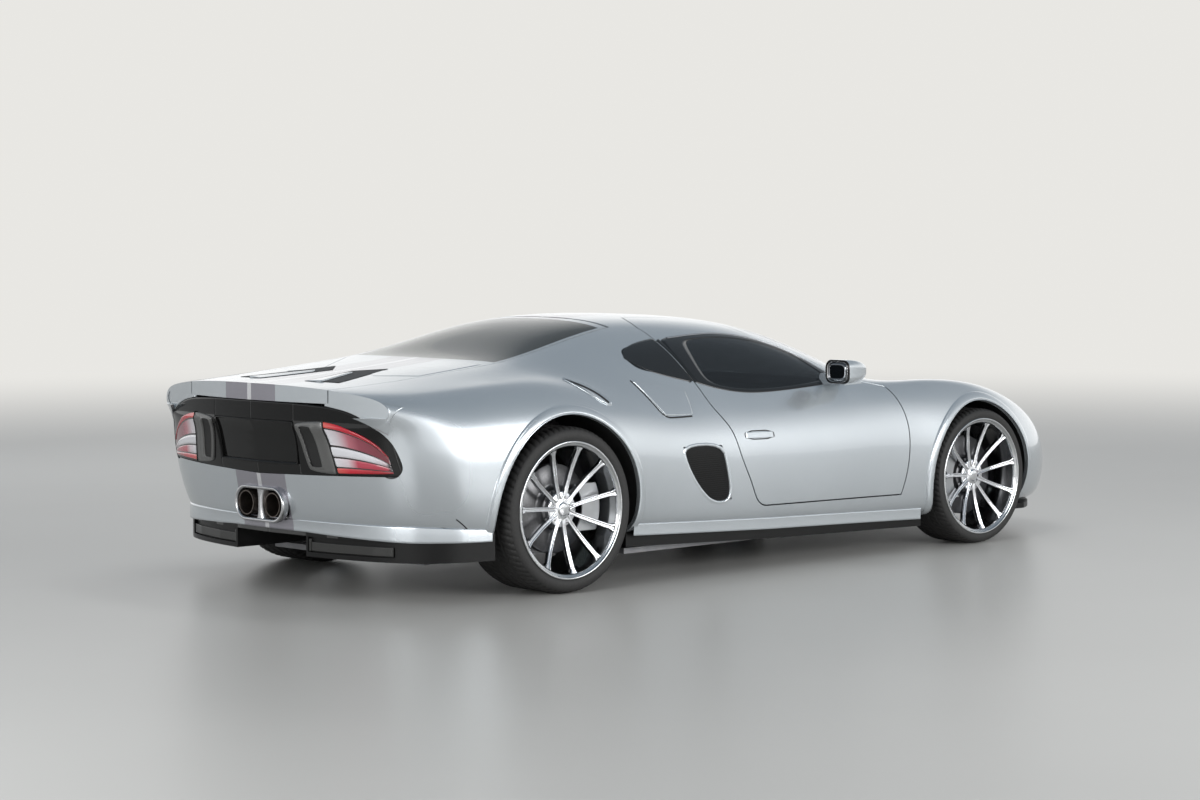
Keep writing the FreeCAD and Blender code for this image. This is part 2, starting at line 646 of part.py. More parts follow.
door_cut = side_prism(door_side_shares).common(plan_prism(door_plan_shares))
door_core = side_prism(door_side_shares, shut_gap).common(plan_prism(door_plan_shares, shut_gap))
lid_cut = plan_prism(lid_shares, 0, z_at(0.690))
lid_core = plan_prism(lid_shares, shut_gap, z_at(0.690))
bonnet_cut = plan_prism(bonnet_shares, 0, z_at(0.340))
bonnet_core = plan_prism(bonnet_shares, shut_gap, z_at(0.340))
windscreen_cut = plan_prism(windscreen_shares, 0, z_at(0.600))
rear_glass_cut = plan_prism(rear_glass_shares, 0, z_at(0.700))
quarter_glass_cut = side_prism(quarter_glass_shares)
door_glass_cut = side_prism(door_glass_shares)
side_grille_cut = side_prism(side_grille_shares, 0, -half_width - overrun, -y_at(0.7))
fascia_cut = rear_prism(fascia_shares, rear_axle_x - rear_overhang - overrun, x_at(-0.200))
grille_cut = rear_prism(front_grille_shares, x_at(1.200), front_axle_x + front_overhang + overrun)
headlamp_cut = plan_prism(headlamp_shares, 0, z_at(0.300))
front_arch = cylinder_y(front_axle_x, front_tyre_radius, front_arch_radius, -half_width - overrun, -y_at(0.5))
rear_arch = cylinder_y(rear_axle_x, rear_tyre_radius, rear_arch_radius, -half_width - overrun, -y_at(0.5))
keel = box(rear_axle_x - rear_overhang - overrun, nose_split_x, -floor_edge_y, 0, 0, z_at(0.250))
keel = keel.fuse(box(nose_split_x, x_at(1.260), -floor_edge_y, 0, 0, z_at(0.146)))
deck_vent_cut = plan_prism(deck_vent_shares, 0, z_at(0.700))


def exhaust_oval(grow, x_front):
    """The oval block that the exhaust surround fills, from behind the tail to its front."""
    half_flat = bezel_half_width - bezel_half_height
    x_rear = pipe_rear_x
    block = box(x_rear, x_front, -half_flat, half_flat, pipe_z - bezel_half_height - grow,
                pipe_z + bezel_half_height + grow)
    for y in (-half_flat, half_flat):
        block = block.fuse(Part.makeCylinder(bezel_half_height + grow, x_front - x_rear,
                                             Vector(x_rear, y, pipe_z), Vector(1, 0, 0)))
    return block.removeSplitter()


exhaust_cut = exhaust_oval(0.0, silencer_x)


rest = skin
for tool in (door_cut, lid_cut, bonnet_cut, windscreen_cut, quarter_glass_cut, side_grille_cut,
             front_arch, rear_arch, fascia_cut, grille_cut, headlamp_cut, keel, exhaust_cut):
    rest = rest.cut(tool)


def span(x0, x1, y0=-half_width - overrun, y1=0.0, z0=0.0, z1=roof_height + overrun):
    """A box on the right side, open where no bound is given."""
    return box(x0, x1, y0, y1, z0, z1)


tail_x = rear_axle_x - rear_overhang
nose_x = front_axle_x + front_overhang
bumper_zone = span(tail_x - overrun, bumper_split_x, z1=bumper_split_z)
roof_zone = span(roof_split_x, pillar_split_x, y0=roof_split_y).fuse(
    span(pillar_split_x, fender_split_x, z0=pillar_split_z))
front_zone = span(nose_split_x, nose_x + overrun)
fender_zone = span(fender_split_x, nose_split_x)
quarter_zone = span(tail_x - overrun, fender_split_x)


def arch_lip(x, z, radius, room=0.0):
    """A raised lip round a wheel arch, or the room that it needs among its neighbours."""
    ring = cylinder_y(x, z, radius + arch_lip_width + room, -half_width - overrun, -y_at(0.75))
    ring = ring.cut(cylinder_y(x, z, radius - room, -half_width - overrun, 0))
    return layer(ring, -arch_lip_height - room, arch_lip_height / 2.0).cut(keel)


nodes = {}

# What of the quarter's skin would stand out behind the lip, at each end below it.
ears = behind_bow(0, ear_bottom_z).common(span(tail_x - overrun, rear_axle_x, z1=tail_lip_bottom_z))
quarter = rest.common(quarter_zone).cut(bumper_zone).cut(roof_zone).cut(ears)
rear_lip = arch_lip(rear_axle_x, rear_tyre_radius, rear_arch_radius).cut(bumper_zone)
quarter = largest(quarter.fuse(rear_lip))
nodes["rear_quarter_right"] = quarter
nodes["rear_quarter_left"] = mirrored(quarter)

fender = rest.common(fender_zone)
front_lip = arch_lip(front_axle_x, front_tyre_radius, front_arch_radius).common(fender_zone)
fender = largest(fender.fuse(front_lip))
nodes["front_fender_right"] = fender
nodes["front_fender_left"] = mirrored(fender)

nodes["front_bumper"] = joined_halves(rest.common(front_zone))
nodes["rear_bumper"] = joined_halves(rest.common(bumper_zone))

roof = joined_halves(rest.common(roof_zone))

nodes["windscreen"] = joined_halves(layer(windscreen_cut, 0.0, glass_thickness))
nodes["quarter_glass"] = both_sides(layer(quarter_glass_cut, 0.0, glass_thickness))
nodes["headlamps"] = both_sides(skin.common(headlamp_cut))

# The engine lid with its glass, hinged at the roof's rear edge.
lid_clear = Vector(shut_gap - hinge_gap, 0, 0)
lid_shape = skin.common(lid_core).common(lid_core.translated(lid_clear))
lid_glass = layer(rear_glass_cut, 0.0, glass_thickness)
lid_shape = lid_shape.cut(rear_glass_cut).cut(deck_vent_cut)
lid = joined_halves(lid_shape)
nodes["rear_glass"] = joined_halves(lid_glass)
nodes["deck_vents"] = both_sides(layer(deck_vent_cut.common(lid_core), glass_thickness, panel_thickness))

# The bonnet, hinged at the foot of the windscreen.
bonnet_clear = Vector(hinge_gap - shut_gap, 0, 0)
bonnet = joined_halves(skin.common(bonnet_core).common(bonnet_core.translated(bonnet_clear)))

# The door: an outer skin that turns in over the roof, and a thick lower part under the glass.
door_skin = skin.common(door_core)
door_inner = inner.common(side_prism(door_side_shares, hinge_gap, y1=-door_inner_y))
door_inner = door_inner.common(span(x_at(0.3), x_at(0.9), z1=door_inner_top_z))
door = door_skin.fuse(door_inner).cut(door_glass_cut)
door_glass = layer(door_glass_cut, 0.0, glass_thickness)

# Hinges of the doors, the lid and the bonnet.


def hinge_eye(centre, axis, radius, width):
    """A barrel about a hinge pin."""
    start = centre - axis * (width / 2.0)
    return Part.makeCylinder(radius, width, start, axis)


firewall_x = x_at(0.838)
door_foot = Vector(door_hinge_x, -door_hinge_y, 0)
turn_outline = [door_foot + Vector(r, 0, z) for z, r in door_turn_profile]
turn_outline += [door_foot + Vector(0, 0, door_turn_profile[i][0]) for i in (-1, 0)]
turn_face = Part.Face(Part.makePolygon(turn_outline + turn_outline[:1]))
door = door.cut(turn_face.revolve(door_foot, up, full_turn))
door_pins = []
for z in door_hinge_z:
    centre = Vector(door_hinge_x, -door_hinge_y, z)
    bore = hinge_eye(centre, up, hinge_pin_radius + running_gap, 2 * hinge_width)
    eye = hinge_eye(centre, up, hinge_eye_radius, hinge_width)
    neck_y = -door_hinge_y + hinge_neck_reach
    neck = box(door_hinge_x - hinge_eye_radius / 2.0, door_hinge_x + hinge_eye_radius / 2.0,
               -door_hinge_y, neck_y, z - hinge_width / 2.0, z + hinge_width / 2.0)
    strap = box(x_at(hinge_strap_share), door_hinge_x + hinge_eye_radius / 2.0, neck_y - hinge_strap, neck_y,
                z - hinge_width / 2.0, z + hinge_width / 2.0)
    door = door.fuse(eye.fuse(neck).fuse(strap).cut(bore))
    pin = hinge_eye(centre, up, hinge_pin_radius, hinge_width + 2 * hinge_strap)
    for side in (-1, 1):
        low = z + side * (hinge_width / 2.0 + running_gap + hinge_strap / 2.0) - hinge_strap / 2.0
        pin = pin.fuse(box(door_hinge_x - hinge_eye_radius, firewall_x, -door_hinge_y - hinge_eye_radius,
                           -door_hinge_y + hinge_neck_reach, low, low + hinge_strap))
    door_pins.append(pin)
door = largest(door)
nodes["door_right"] = door
nodes["door_left"] = mirrored(door)
nodes["door_glass_right"] = largest(door_glass)
nodes["door_glass_left"] = mirrored(largest(door_glass))


def lid_hinge(x, y, z, towards, reach):
    """A pin with its two cheeks, and the eye that turns on it: towards is the fixed side, +1 or -1."""
    centre = Vector(x, y, z)
    pin = hinge_eye(centre, across, lid_pin_radius, hinge_width + 2 * hinge_strap)
    for side in (-1, 1):
        low = y + side * (hinge_width / 2.0 + running_gap + hinge_strap / 2.0) - hinge_strap / 2.0
        cheek = box(min(x - towards * lid_pin_radius, x + towards * reach),
                    max(x - towards * lid_pin_radius, x + towards * reach),
                    low, low + hinge_strap, z - lid_eye_radius, z + lid_pin_radius)
        pin = pin.fuse(cheek)
    bore = hinge_eye(centre, across, lid_pin_radius + running_gap, 2 * hinge_width)
    eye = hinge_eye(centre, across, lid_eye_radius, hinge_width)
    arm = box(min(x, x - towards * reach), max(x, x - towards * reach), y - hinge_width / 2.0,
              y + hinge_width / 2.0, z - lid_eye_radius, z - lid_pin_radius / 2.0)
    return pin, eye.fuse(arm).cut(bore)


for y in (-lid_hinge_y, lid_hinge_y):
    pin, eye = lid_hinge(lid_hinge_x, y, lid_hinge_z, 1, hinge_reach)
    roof = roof.fuse(pin)
    lid = lid.fuse(eye)
nodes["roof_frame"] = largest(roof)
nodes["engine_lid"] = largest(lid)

# The floor, the walls at each end of the cabin, and the pins that the walls carry.
floor = box(x_at(-0.160), x_at(1.130), -floor_core_y, floor_core_y, floor_bottom_z,
            floor_bottom_z + floor_thickness)
floor = floor.fuse(box(x_at(0.170), x_at(0.842), -floor_edge_y, floor_edge_y, floor_bottom_z,
                       floor_bottom_z + floor_thickness))
wall_zone = span(firewall_x, firewall_x + wall_thickness, z0=floor_bottom_z + floor_thickness,
                 z1=firewall_top_z)
firewall = joined_halves(inner.common(wall_zone).cut(bonnet_cut))
for pin in door_pins:
    firewall = firewall.fuse(pin).fuse(mirrored(pin))
for y in (-bonnet_hinge_y, bonnet_hinge_y):
    pin, eye = lid_hinge(bonnet_hinge_x, y, bonnet_hinge_z, -1, bonnet_hinge_x - firewall_x)
    post = box(firewall_x, firewall_x + wall_thickness, y - hinge_width, y + hinge_width,
               firewall_top_z - wall_thickness, bonnet_hinge_z)
    firewall = firewall.fuse(pin).fuse(post)
    bonnet = bonnet.fuse(eye)
nodes["bonnet"] = largest(bonnet)
bulkhead_zone = span(bulkhead_x, bulkhead_x + wall_thickness, z0=floor_bottom_z + floor_thickness,
                     z1=bulkhead_top_z)
bulkhead = joined_halves(inner.common(bulkhead_zone))
nodes["cabin_floor"] = largest(floor)
nodes["firewall"] = largest(firewall)
nodes["rear_bulkhead"] = bulkhead

# Wheel-arch liners.


def arch_liner(x, z, radius, inner_y):
    tube = cylinder_y(x, z, radius + liner_thickness, -half_width, -inner_y)
    tube = tube.cut(cylinder_y(x, z, radius, -half_width - overrun, 0))
    wall = cylinder_y(x, z, radius + liner_thickness, -inner_y - liner_thickness, -inner_y)
    wall = wall.cut(cylinder_y(x, z, radius * liner_window_share, -half_width, 0))
    shape = inner.common(tube.fuse(wall))
    return largest(shape.cut(span(tail_x, nose_x, z1=floor_bottom_z + floor_thickness)))


front_liner = arch_liner(front_axle_x, front_tyre_radius, front_liner_radius, front_liner_y)
rear_liner = arch_liner(rear_axle_x, rear_tyre_radius, rear_liner_radius, rear_liner_y)
nodes["front_arch_liners"] = both_sides(front_liner)
nodes["rear_arch_liners"] = both_sides(rear_liner)
for name in ("front_arch_liners", "front_fender_right", "front_fender_left"):
    nodes["firewall"] = nodes["firewall"].cut(nodes[name])
nodes["firewall"] = largest(nodes["firewall"])

# Black skirts, splitter and diffuser.
lip_room = arch_lip(rear_axle_x, rear_tyre_radius, rear_arch_radius, arch_lip_room)
skirt = side_prism(skirt_shares, 0, -skirt_outer_y, -floor_edge_y).cut(outer).cut(lip_room)
nodes["side_skirts"] = both_sides(largest(skirt))
splitter = plan_prism(splitter_shares, 0, splitter_bottom_z, splitter_bottom_z + splitter_thickness)
nodes["front_splitter"] = joined_halves(splitter.common(span(tail_x, nose_x)))
diffuser_top_z = z_at(0.300)
diffuser_solid = plan_prism(diffuser_shares, 0, diffuser_bottom_z, diffuser_top_z)
diffuser = diffuser_solid.cut(plan_prism(diffuser_shares, diffuser_wall, diffuser_bottom_z + diffuser_plate))
recess = span(tail_x, bumper_split_x, -diffuser_recess_y, -diffuser_tunnel_y, *diffuser_recess_z)
diffuser = diffuser.cut(recess.common(diffuser_solid).cut(plan_prism(diffuser_shares, diffuser_recess)))
tunnel = box(tail_x, rear_axle_x, -diffuser_tunnel_y, 0, 0, diffuser_tunnel_z)
tunnel_side = span(tail_x, rear_axle_x, -diffuser_tunnel_y - tunnel_wall, -diffuser_tunnel_y,
                   diffuser_bottom_z, diffuser_top_z)
diffuser = diffuser.cut(tunnel).fuse(tunnel_side.common(diffuser_solid))
diffuser = largest(diffuser.common(span(tail_x, rear_axle_x)).cut(outer).cut(lip_room))
nodes["rear_diffuser"] = joined_halves(diffuser)

# The tail's dark panel, which steps in under the lip, with its lamps, and the intakes.
fascia_outer = body_at(fascia_depth).cut(behind_bow(fascia_depth, fascia_ledge_z))
fascia_inner_depth = fascia_depth + fascia_thickness
fascia_inner = body_at(fascia_inner_depth).cut(
    behind_bow(fascia_inner_depth, fascia_ledge_z - fascia_thickness))
nodes["tail_panel"] = joined_halves(fascia_outer.common(fascia_cut).cut(fascia_inner))
lamp_zone = rear_prism(lamp_shares, tail_x - overrun, x_at(-0.2))
nodes["tail_lamps"] = both_sides(largest(layer(lamp_zone, lamp_depth, fascia_depth)))
nodes["front_grille"] = joined_halves(layer(grille_cut, mesh_depth, mesh_depth + mesh_thickness))
side_mesh = layer(side_grille_cut, mesh_depth, mesh_depth + mesh_thickness)
nodes["side_grilles"] = both_sides(largest(side_mesh))

# Exhaust: two pipes in an oval surround, from a silencer behind the engine.
pipe_front_x = silencer_x + pipe_insertion
exhaust = box(silencer_x, silencer_x + silencer_length, -silencer_half_width, silencer_half_width,
              pipe_z - silencer_height / 2.0, pipe_z + silencer_height / 2.0)
for y in (-pipe_y, pipe_y):
    exhaust = exhaust.fuse(Part.makeCylinder(pipe_radius, pipe_front_x - pipe_rear_x,
                                             Vector(pipe_rear_x, y, pipe_z), Vector(1, 0, 0)))
for y in (-pipe_y, pipe_y):
    exhaust = exhaust.cut(Part.makeCylinder(pipe_radius - pipe_wall, pipe_front_x - pipe_rear_x,
                                            Vector(pipe_rear_x, y, pipe_z), Vector(1, 0, 0)))
nodes["exhaust"] = exhaust.removeSplitter()
bezel = exhaust_oval(0.0, bezel_front_x).cut(exhaust_oval(-bezel_wall, bezel_front_x))
web = exhaust_oval(-bezel_wall, pipe_rear_x + bezel_sink + bezel_wall).common(
    box(pipe_rear_x + bezel_sink, pipe_rear_x + bezel_sink + bezel_wall, -overrun, overrun, 0,
        roof_height))
for y in (-pipe_y, pipe_y):
    web = web.cut(Part.makeCylinder(pipe_radius, overrun, Vector(pipe_rear_x - overrun / 2.0, y, pipe_z),
                                    Vector(1, 0, 0)))
nodes["exhaust_surround"] = largest(bezel.fuse(web))

# Engine with its gearbox, one plain block on the floor behind the bulkhead.
engine_x = bulkhead_x - engine_length
machinery_z = floor_bottom_z + floor_thickness
engine = box(engine_x, bulkhead_x, -engine_half_width, engine_half_width, machinery_z,
             machinery_z + engine_height)
engine = engine.fuse(box(engine_x - gearbox_length, engine_x, -gearbox_half_width, gearbox_half_width,
                         machinery_z, machinery_z + gearbox_height))

# Cabin: seats, dashboard and steering wheel.


def bucket_seat(y):
    """A cushion and a leaning back, each with its two side rolls."""
    half = seat_width / 2.0
    base = box(seat_x - seat_back_thickness, seat_x + seat_length, y - half, y + half, machinery_z,
               machinery_z + seat_cushion_height)
    dished = box(seat_x, seat_x + seat_length + overrun, y - half * seat_pan_share,
                 y + half * seat_pan_share, machinery_z + seat_cushion_height * seat_dish_share, roof_height)
    back = box(seat_x - seat_back_thickness, seat_x, y - half * seat_back_share,
               y + half * seat_back_share, machinery_z, machinery_z + seat_cushion_height + seat_back_height)
    back.rotate(Vector(seat_x, y, machinery_z), across, -seat_back_lean)
    back = back.cut(box(tail_x, nose_x, -half_width, half_width, 0, machinery_z))
    return largest(base.cut(dished).fuse(back).removeSplitter())


nodes["seat_right"] = bucket_seat(-seat_y)
nodes["seat_left"] = bucket_seat(seat_y)

dash = side_prism(dash_side_shares, 0, -dash_half_width, dash_half_width)
nodes["dashboard"] = dash
wheel_axis = Vector(-math.cos(math.radians(steering_lean)), 0, math.sin(math.radians(steering_lean)))
wheel_centre = Vector(steering_wheel_x, seat_y, steering_wheel_z)
ring = Part.makeTorus(steering_wheel_radius, steering_wheel_rim, wheel_centre, wheel_axis)
boss = Part.makeCylinder(steering_boss_radius, steering_boss_length,
                         wheel_centre - wheel_axis * steering_boss_length, wheel_axis)
column = Part.makeCylinder(column_radius, column_length, wheel_centre - wheel_axis * column_length,
                           wheel_axis)
steering = ring.fuse(boss).fuse(column)
for angle in steering_spoke_angles:
    spoke = Part.makeBox(steering_wheel_radius, steering_spoke_width, steering_spoke_thickness,
                         Vector(0, -steering_spoke_width / 2.0, -steering_spoke_thickness))
    spoke.rotate(Vector(0, 0, 0), Vector(0, 0, 1), angle)
    spoke.rotate(Vector(0, 0, 0), across, steering_lean - right_angle)
    steering = steering.fuse(spoke.translated(wheel_centre))
nodes["steering_wheel"] = largest(steering.cut(dash))

# Door mirrors, each a rounded shell on a foot, flat behind.


def rounded_frame(x, y, z, half_y, half_z, corner):
    """A rounded rectangle that faces along X."""
    points = []
    for sy, sz, first in ((1, 1, 0), (-1, 1, 1), (-1, -1, 0), (1, -1, 1)):
        long_way = Vector(x, y + sy * half_y, z + sz * (half_z - corner))
        short_way = Vector(x, y + sy * (half_y - corner), z + sz * half_z)
        middle = Vector(x, y + sy * (half_y - corner * round_share), z + sz * (half_z - corner * round_share))
        points.append((long_way, middle, short_way) if first == 0 else (short_way, middle, long_way))
    edges = []
    for k, (start, middle, end) in enumerate(points):
        edges.append(Part.Arc(start, middle, end).toShape())
        edges.append(Part.makeLine(end, points[(k + 1) % len(points)][0]))
    return Part.Wire(edges)


def door_mirror():
    frames = []
    for along, size in mirror_taper_shares:
        frames.append(rounded_frame(mirror_rear_x + along * mirror_length, -mirror_y, mirror_z,
                                    mirror_half_breadth * size, mirror_half_height * size,
                                    mirror_half_height * size * mirror_corner_share))
    shell = Part.makeLoft(frames, True, False)
    foot = side_prism(mirror_foot_shares, 0, -mirror_y, -mirror_foot_y)
    return largest(shell.fuse(foot).cut(outer))


nodes["mirror_right"] = door_mirror()
nodes["mirror_left"] = mirrored(nodes["mirror_right"])

# Wheels.


def revolved(points, x, z):
    """A ring about the wheel's axis from a profile of radius and distance from the middle plane."""
    outline = [Vector(x, -y, z + r) for r, y in points]
    face = Part.Face(Part.makePolygon(outline + outline[:1]))
    return face.revolve(Vector(x, 0, z), across, full_turn)


def tyre(x, radius, width, rim_radius, face_y):
    """A tyre with rounded shoulders and bulging walls, seated on the rim."""
    middle = face_y - width / 2.0
    half = width / 2.0
    points = [(r * radius + (1 - r) * rim_radius, middle + w * half) for r, w in tyre_profile_shares]
    points += [(r, 2 * middle - y) for r, y in reversed(points)]
    return revolved(points, x, radius)


def road_wheel(x, radius, rim_radius, width, face_y):
    """A dished wheel: barrel, hub and slender spokes, with its brake disc behind."""
    back_y = face_y - width
    shoulder = rim_radius - rim_wall
    barrel = revolved([(rim_radius, face_y), (rim_radius, back_y), (shoulder, back_y),
                       (shoulder, face_y - rim_lip), (shoulder - rim_lip, face_y - rim_lip),
                       (shoulder - rim_lip, face_y)], x, radius)
    hub_face = face_y - dish_depth
    hub = cylinder_y(x, radius, hub_radius, -hub_face, -hub_face + hub_length)
    disc_y = hub_face - hub_length
    disc = cylinder_y(x, radius, disc_radius, -disc_y - disc_thickness, -disc_y)
    wheel = barrel.fuse(hub).fuse(disc)
    spokes = []
    for i in range(spoke_count):
        root = [Vector(x - spoke_root_width / 2.0, -hub_face, radius + hub_radius * spoke_root_share),
                Vector(x + spoke_root_width / 2.0, -hub_face, radius + hub_radius * spoke_root_share)]
        root += [p + Vector(0, spoke_root_thickness, 0) for p in reversed(root)]
        tip = [Vector(x - spoke_tip_width / 2.0, -face_y, radius + shoulder - rim_lip / 2.0),
               Vector(x + spoke_tip_width / 2.0, -face_y, radius + shoulder - rim_lip / 2.0)]
        tip += [p + Vector(0, spoke_tip_thickness, 0) for p in reversed(tip)]
        spoke = Part.makeLoft([Part.makePolygon(root + root[:1]), Part.makePolygon(tip + tip[:1])],
                              True, True)
        spoke.rotate(Vector(x, 0, radius), across, full_turn * (i + spoke_phase_share) / spoke_count)
        spokes.append(spoke)
    wheel = wheel.fuse(spokes)
    for i in range(lug_count):
        angle = math.radians(full_turn * i / lug_count)
        hole = cylinder_y(x + lug_circle_radius * math.sin(angle),
                          radius + lug_circle_radius * math.cos(angle),
                          lug_hole_radius, -hub_face, -hub_face + lug_hole_depth)
        wheel = wheel.cut(hole)
    bore = cylinder_y(x, radius, spindle_radius + running_gap, -hub_face + hub_cap_thickness, 0)
    return largest(wheel.cut(bore)), disc_y


def caliper(x, z, disc_y, side):
    """A block that straddles the disc over part of a turn."""
    mid_y = disc_y + disc_thickness / 2.0
    block = cylinder_y(x, z, caliper_outer_radius, -mid_y - caliper_width / 2.0, -mid_y + caliper_width / 2.0)
    block = block.cut(cylinder_y(x, z, caliper_inner_radius, -half_width, 0))
    slot = cylinder_y(x, z, disc_radius + disc_clearance,
                      -disc_y - disc_thickness - disc_clearance, -disc_y + disc_clearance)
    reach = overrun
    height = caliper_outer_radius * math.sin(math.radians(caliper_arc / 2.0))
    window = box(min(x, x + side * reach), max(x, x + side * reach), -half_width, 0, z - height, z + height)
    return block.cut(slot).common(window)


def knuckle(x, z, disc_y, side):
    """The upright with its spindle, its two ball-joint pins and the caliper on its bracket."""
    upright = box(x - upright_half_length, x + upright_half_length, -kingpin_y - upright_half_length,
                  -kingpin_y + upright_half_length, z - ball_joint_z + arm_thickness,
                  z + ball_joint_z - arm_thickness)
    spindle = cylinder_y(x, z, spindle_radius, -disc_y - hub_length + 2 * hub_cap_thickness, -kingpin_y)
    pin = Part.makeCylinder(kingpin_radius, 2 * (ball_joint_z + arm_thickness / 2.0),
                            Vector(x, -kingpin_y, z - ball_joint_z - arm_thickness / 2.0))
    inner_edge = -disc_y + disc_clearance
    bracket = box(min(x, x + side * caliper_outer_radius * bracket_share),
                  max(x, x + side * caliper_outer_radius * bracket_share),
                  inner_edge, -kingpin_y + upright_half_length, z - upright_half_length,
                  z + upright_half_length)
    shape = upright.fuse(spindle).fuse(pin).fuse(bracket).fuse(caliper(x, z, disc_y, side))
    return largest(shape)


def arm(x, z, eye_y):
    """A flat wishbone from the subframe out to its ball joint."""
    corners = [Vector(x - arm_spread, -subframe_y, z), Vector(x - arm_half_width, -eye_y, z),
               Vector(x + arm_half_width, -eye_y, z), Vector(x + arm_spread, -subframe_y, z)]
    plate = Part.Face(Part.makePolygon(corners + corners[:1])).extrude(Vector(0, 0, arm_thickness))
    eye = Part.makeCylinder(arm_half_width, arm_thickness, Vector(x, -eye_y, z))
    hole = Part.makeCylinder(kingpin_radius + running_gap, 2 * arm_thickness,
                             Vector(x, -eye_y, z - arm_thickness / 2.0))
    return plate.fuse(eye).cut(hole)


def suspension(x, z, eye_y):
    """A subframe across the floor with its four wishbones."""
    half = None
    for level in (-ball_joint_z, ball_joint_z):
        one = arm(x, z + level - arm_thickness / 2.0, eye_y)
        half = one if half is None else half.fuse(one)
    for side in (-1, 1):
        low_x = x + side * arm_spread - subframe_bar / 2.0
        post = box(low_x, low_x + subframe_bar, -subframe_y - subframe_bar / 2.0,
                   -subframe_y + subframe_bar / 2.0, machinery_z, z + ball_joint_z + arm_thickness / 2.0)
        beam = box(low_x, low_x + subframe_bar, -subframe_y, 0, machinery_z, machinery_z + subframe_bar)
        half = half.fuse(post).fuse(beam)
    return half.fuse(mirrored(half)).removeSplitter()


for name, x, radius, width, rim_radius, face_y, side in (
    ("front", front_axle_x, front_tyre_radius, front_tyre_width, front_rim_radius, front_wheel_face_y, -1),
    ("rear", rear_axle_x, rear_tyre_radius, rear_tyre_width, rear_rim_radius, rear_wheel_face_y, 1),
):
    rubber = tyre(x, radius, width, rim_radius, face_y)
    rim, disc_y = road_wheel(x, radius, rim_radius, width, face_y)
    holder = knuckle(x, radius, disc_y, side)
    for hand in ("right", "left"):
        turn = mirrored if hand == "left" else (lambda shape: shape)
        nodes["tyre_%s_%s" % (name, hand)] = turn(rubber)
        nodes["wheel_%s_%s" % (name, hand)] = turn(rim)
        nodes["knuckle_%s_%s" % (name, hand)] = turn(holder)
nodes["front_suspension"] = suspension(front_axle_x, front_tyre_radius, kingpin_y)
nodes["rear_suspension"] = suspension(rear_axle_x, rear_tyre_radius, kingpin_y)
nodes["engine_block"] = engine.removeSplitter().cut(nodes["rear_suspension"])

os.makedirs("parts", exist_ok=True)
for name, shape in nodes.items():
    solids = shape.Solids
    print(name, len(solids), round(shape.Volume / 1e6, 2), shape.isValid())
    shape.exportStep(os.path.join("parts", name + ".step"))
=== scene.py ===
# %% [markdown]
# # A low silver coupe
# This lesson dresses a car whose solids come from a CAD program. The solids are already in place,
# in metres, with +X ahead, +Y to the car's left and +Z up. We load them first, with the record that
# tells which body carries each of them.

# %% Load the frame
import json
import math

import bmesh
import bpy
import numpy as np
from mathutils import Matrix, Vector


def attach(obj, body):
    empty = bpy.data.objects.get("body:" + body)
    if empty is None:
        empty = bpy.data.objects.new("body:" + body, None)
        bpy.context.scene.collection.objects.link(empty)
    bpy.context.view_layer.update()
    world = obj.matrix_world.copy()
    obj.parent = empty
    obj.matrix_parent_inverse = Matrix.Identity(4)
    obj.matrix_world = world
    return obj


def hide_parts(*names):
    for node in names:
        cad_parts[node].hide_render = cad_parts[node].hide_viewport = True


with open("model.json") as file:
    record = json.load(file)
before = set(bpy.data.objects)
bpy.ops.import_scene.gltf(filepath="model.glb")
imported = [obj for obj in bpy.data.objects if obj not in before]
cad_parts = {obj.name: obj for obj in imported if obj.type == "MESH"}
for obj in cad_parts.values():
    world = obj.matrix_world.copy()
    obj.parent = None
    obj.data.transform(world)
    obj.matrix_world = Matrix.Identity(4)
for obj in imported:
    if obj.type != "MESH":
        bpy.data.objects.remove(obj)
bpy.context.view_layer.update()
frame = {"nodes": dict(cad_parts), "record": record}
nodes = frame["nodes"]

# %% [markdown]
# ## The camera
# The photograph was taken from behind the car's right side with a long lens, from about eye
# height. A camera looks along its own -Z axis, so its matrix holds three directions: right, up
# and back. The lens follows from the focal length in pixels over an image 1200 pixels wide.

# %% Place the camera
camera_place = Vector((-9.82382, -10.14525, 1.60078))
camera_yaw, camera_pitch, camera_roll = (math.radians(a) for a in (46.7196, -3.5957, -0.2029))
focal_pixels, image_width, sensor_width = 2991.057, 1200.0, 36.0

forward = Vector((math.cos(camera_yaw) * math.cos(camera_pitch),
                  math.sin(camera_yaw) * math.cos(camera_pitch), math.sin(camera_pitch)))
level_right = Vector((math.sin(camera_yaw), -math.cos(camera_yaw), 0.0))
level_up = level_right.cross(forward)
right = level_right * math.cos(camera_roll) + level_up * math.sin(camera_roll)
up = level_up * math.cos(camera_roll) - level_right * math.sin(camera_roll)
camera_data = bpy.data.cameras.new("camera")
camera_data.sensor_width = sensor_width
camera_data.lens = focal_pixels / image_width * sensor_width
camera_data.clip_end = 200.0
camera = bpy.data.objects.new("camera", camera_data)
turn = Matrix((right, up, -forward)).transposed().to_4x4()
camera.matrix_world = Matrix.Translation(camera_place) @ turn
bpy.context.scene.collection.objects.link(camera)
bpy.context.scene.camera = camera
print("lens in mm:", round(camera_data.lens, 1))

# %% [markdown]
# ## Floor, background and light
# A pale floor and a pale background leave the car alone in the picture. Silver paint shows what
# stands round it, so the world is bright near the horizon, as the walls of a studio are, and
# darker overhead, as its ceiling is. Broad lamps draw soft bands along the flanks. The lamp above
# the car and the one on its far side are kept out of reflections, so that they leave the rear
# window and the deck dark.


# %% Helpers for materials
def shader_of(material):
    """The material's own Principled shader."""
    return material.node_tree.nodes["Principled BSDF"]


def new_material(name, **values):
    """A node material: each keyword is a socket of the Principled shader, set on the socket itself."""
    material = bpy.data.materials.new(name)
    material.use_nodes = True
    for key, value in values.items():
        shader_of(material).inputs[key.replace("_", " ")].default_value = value
    return material


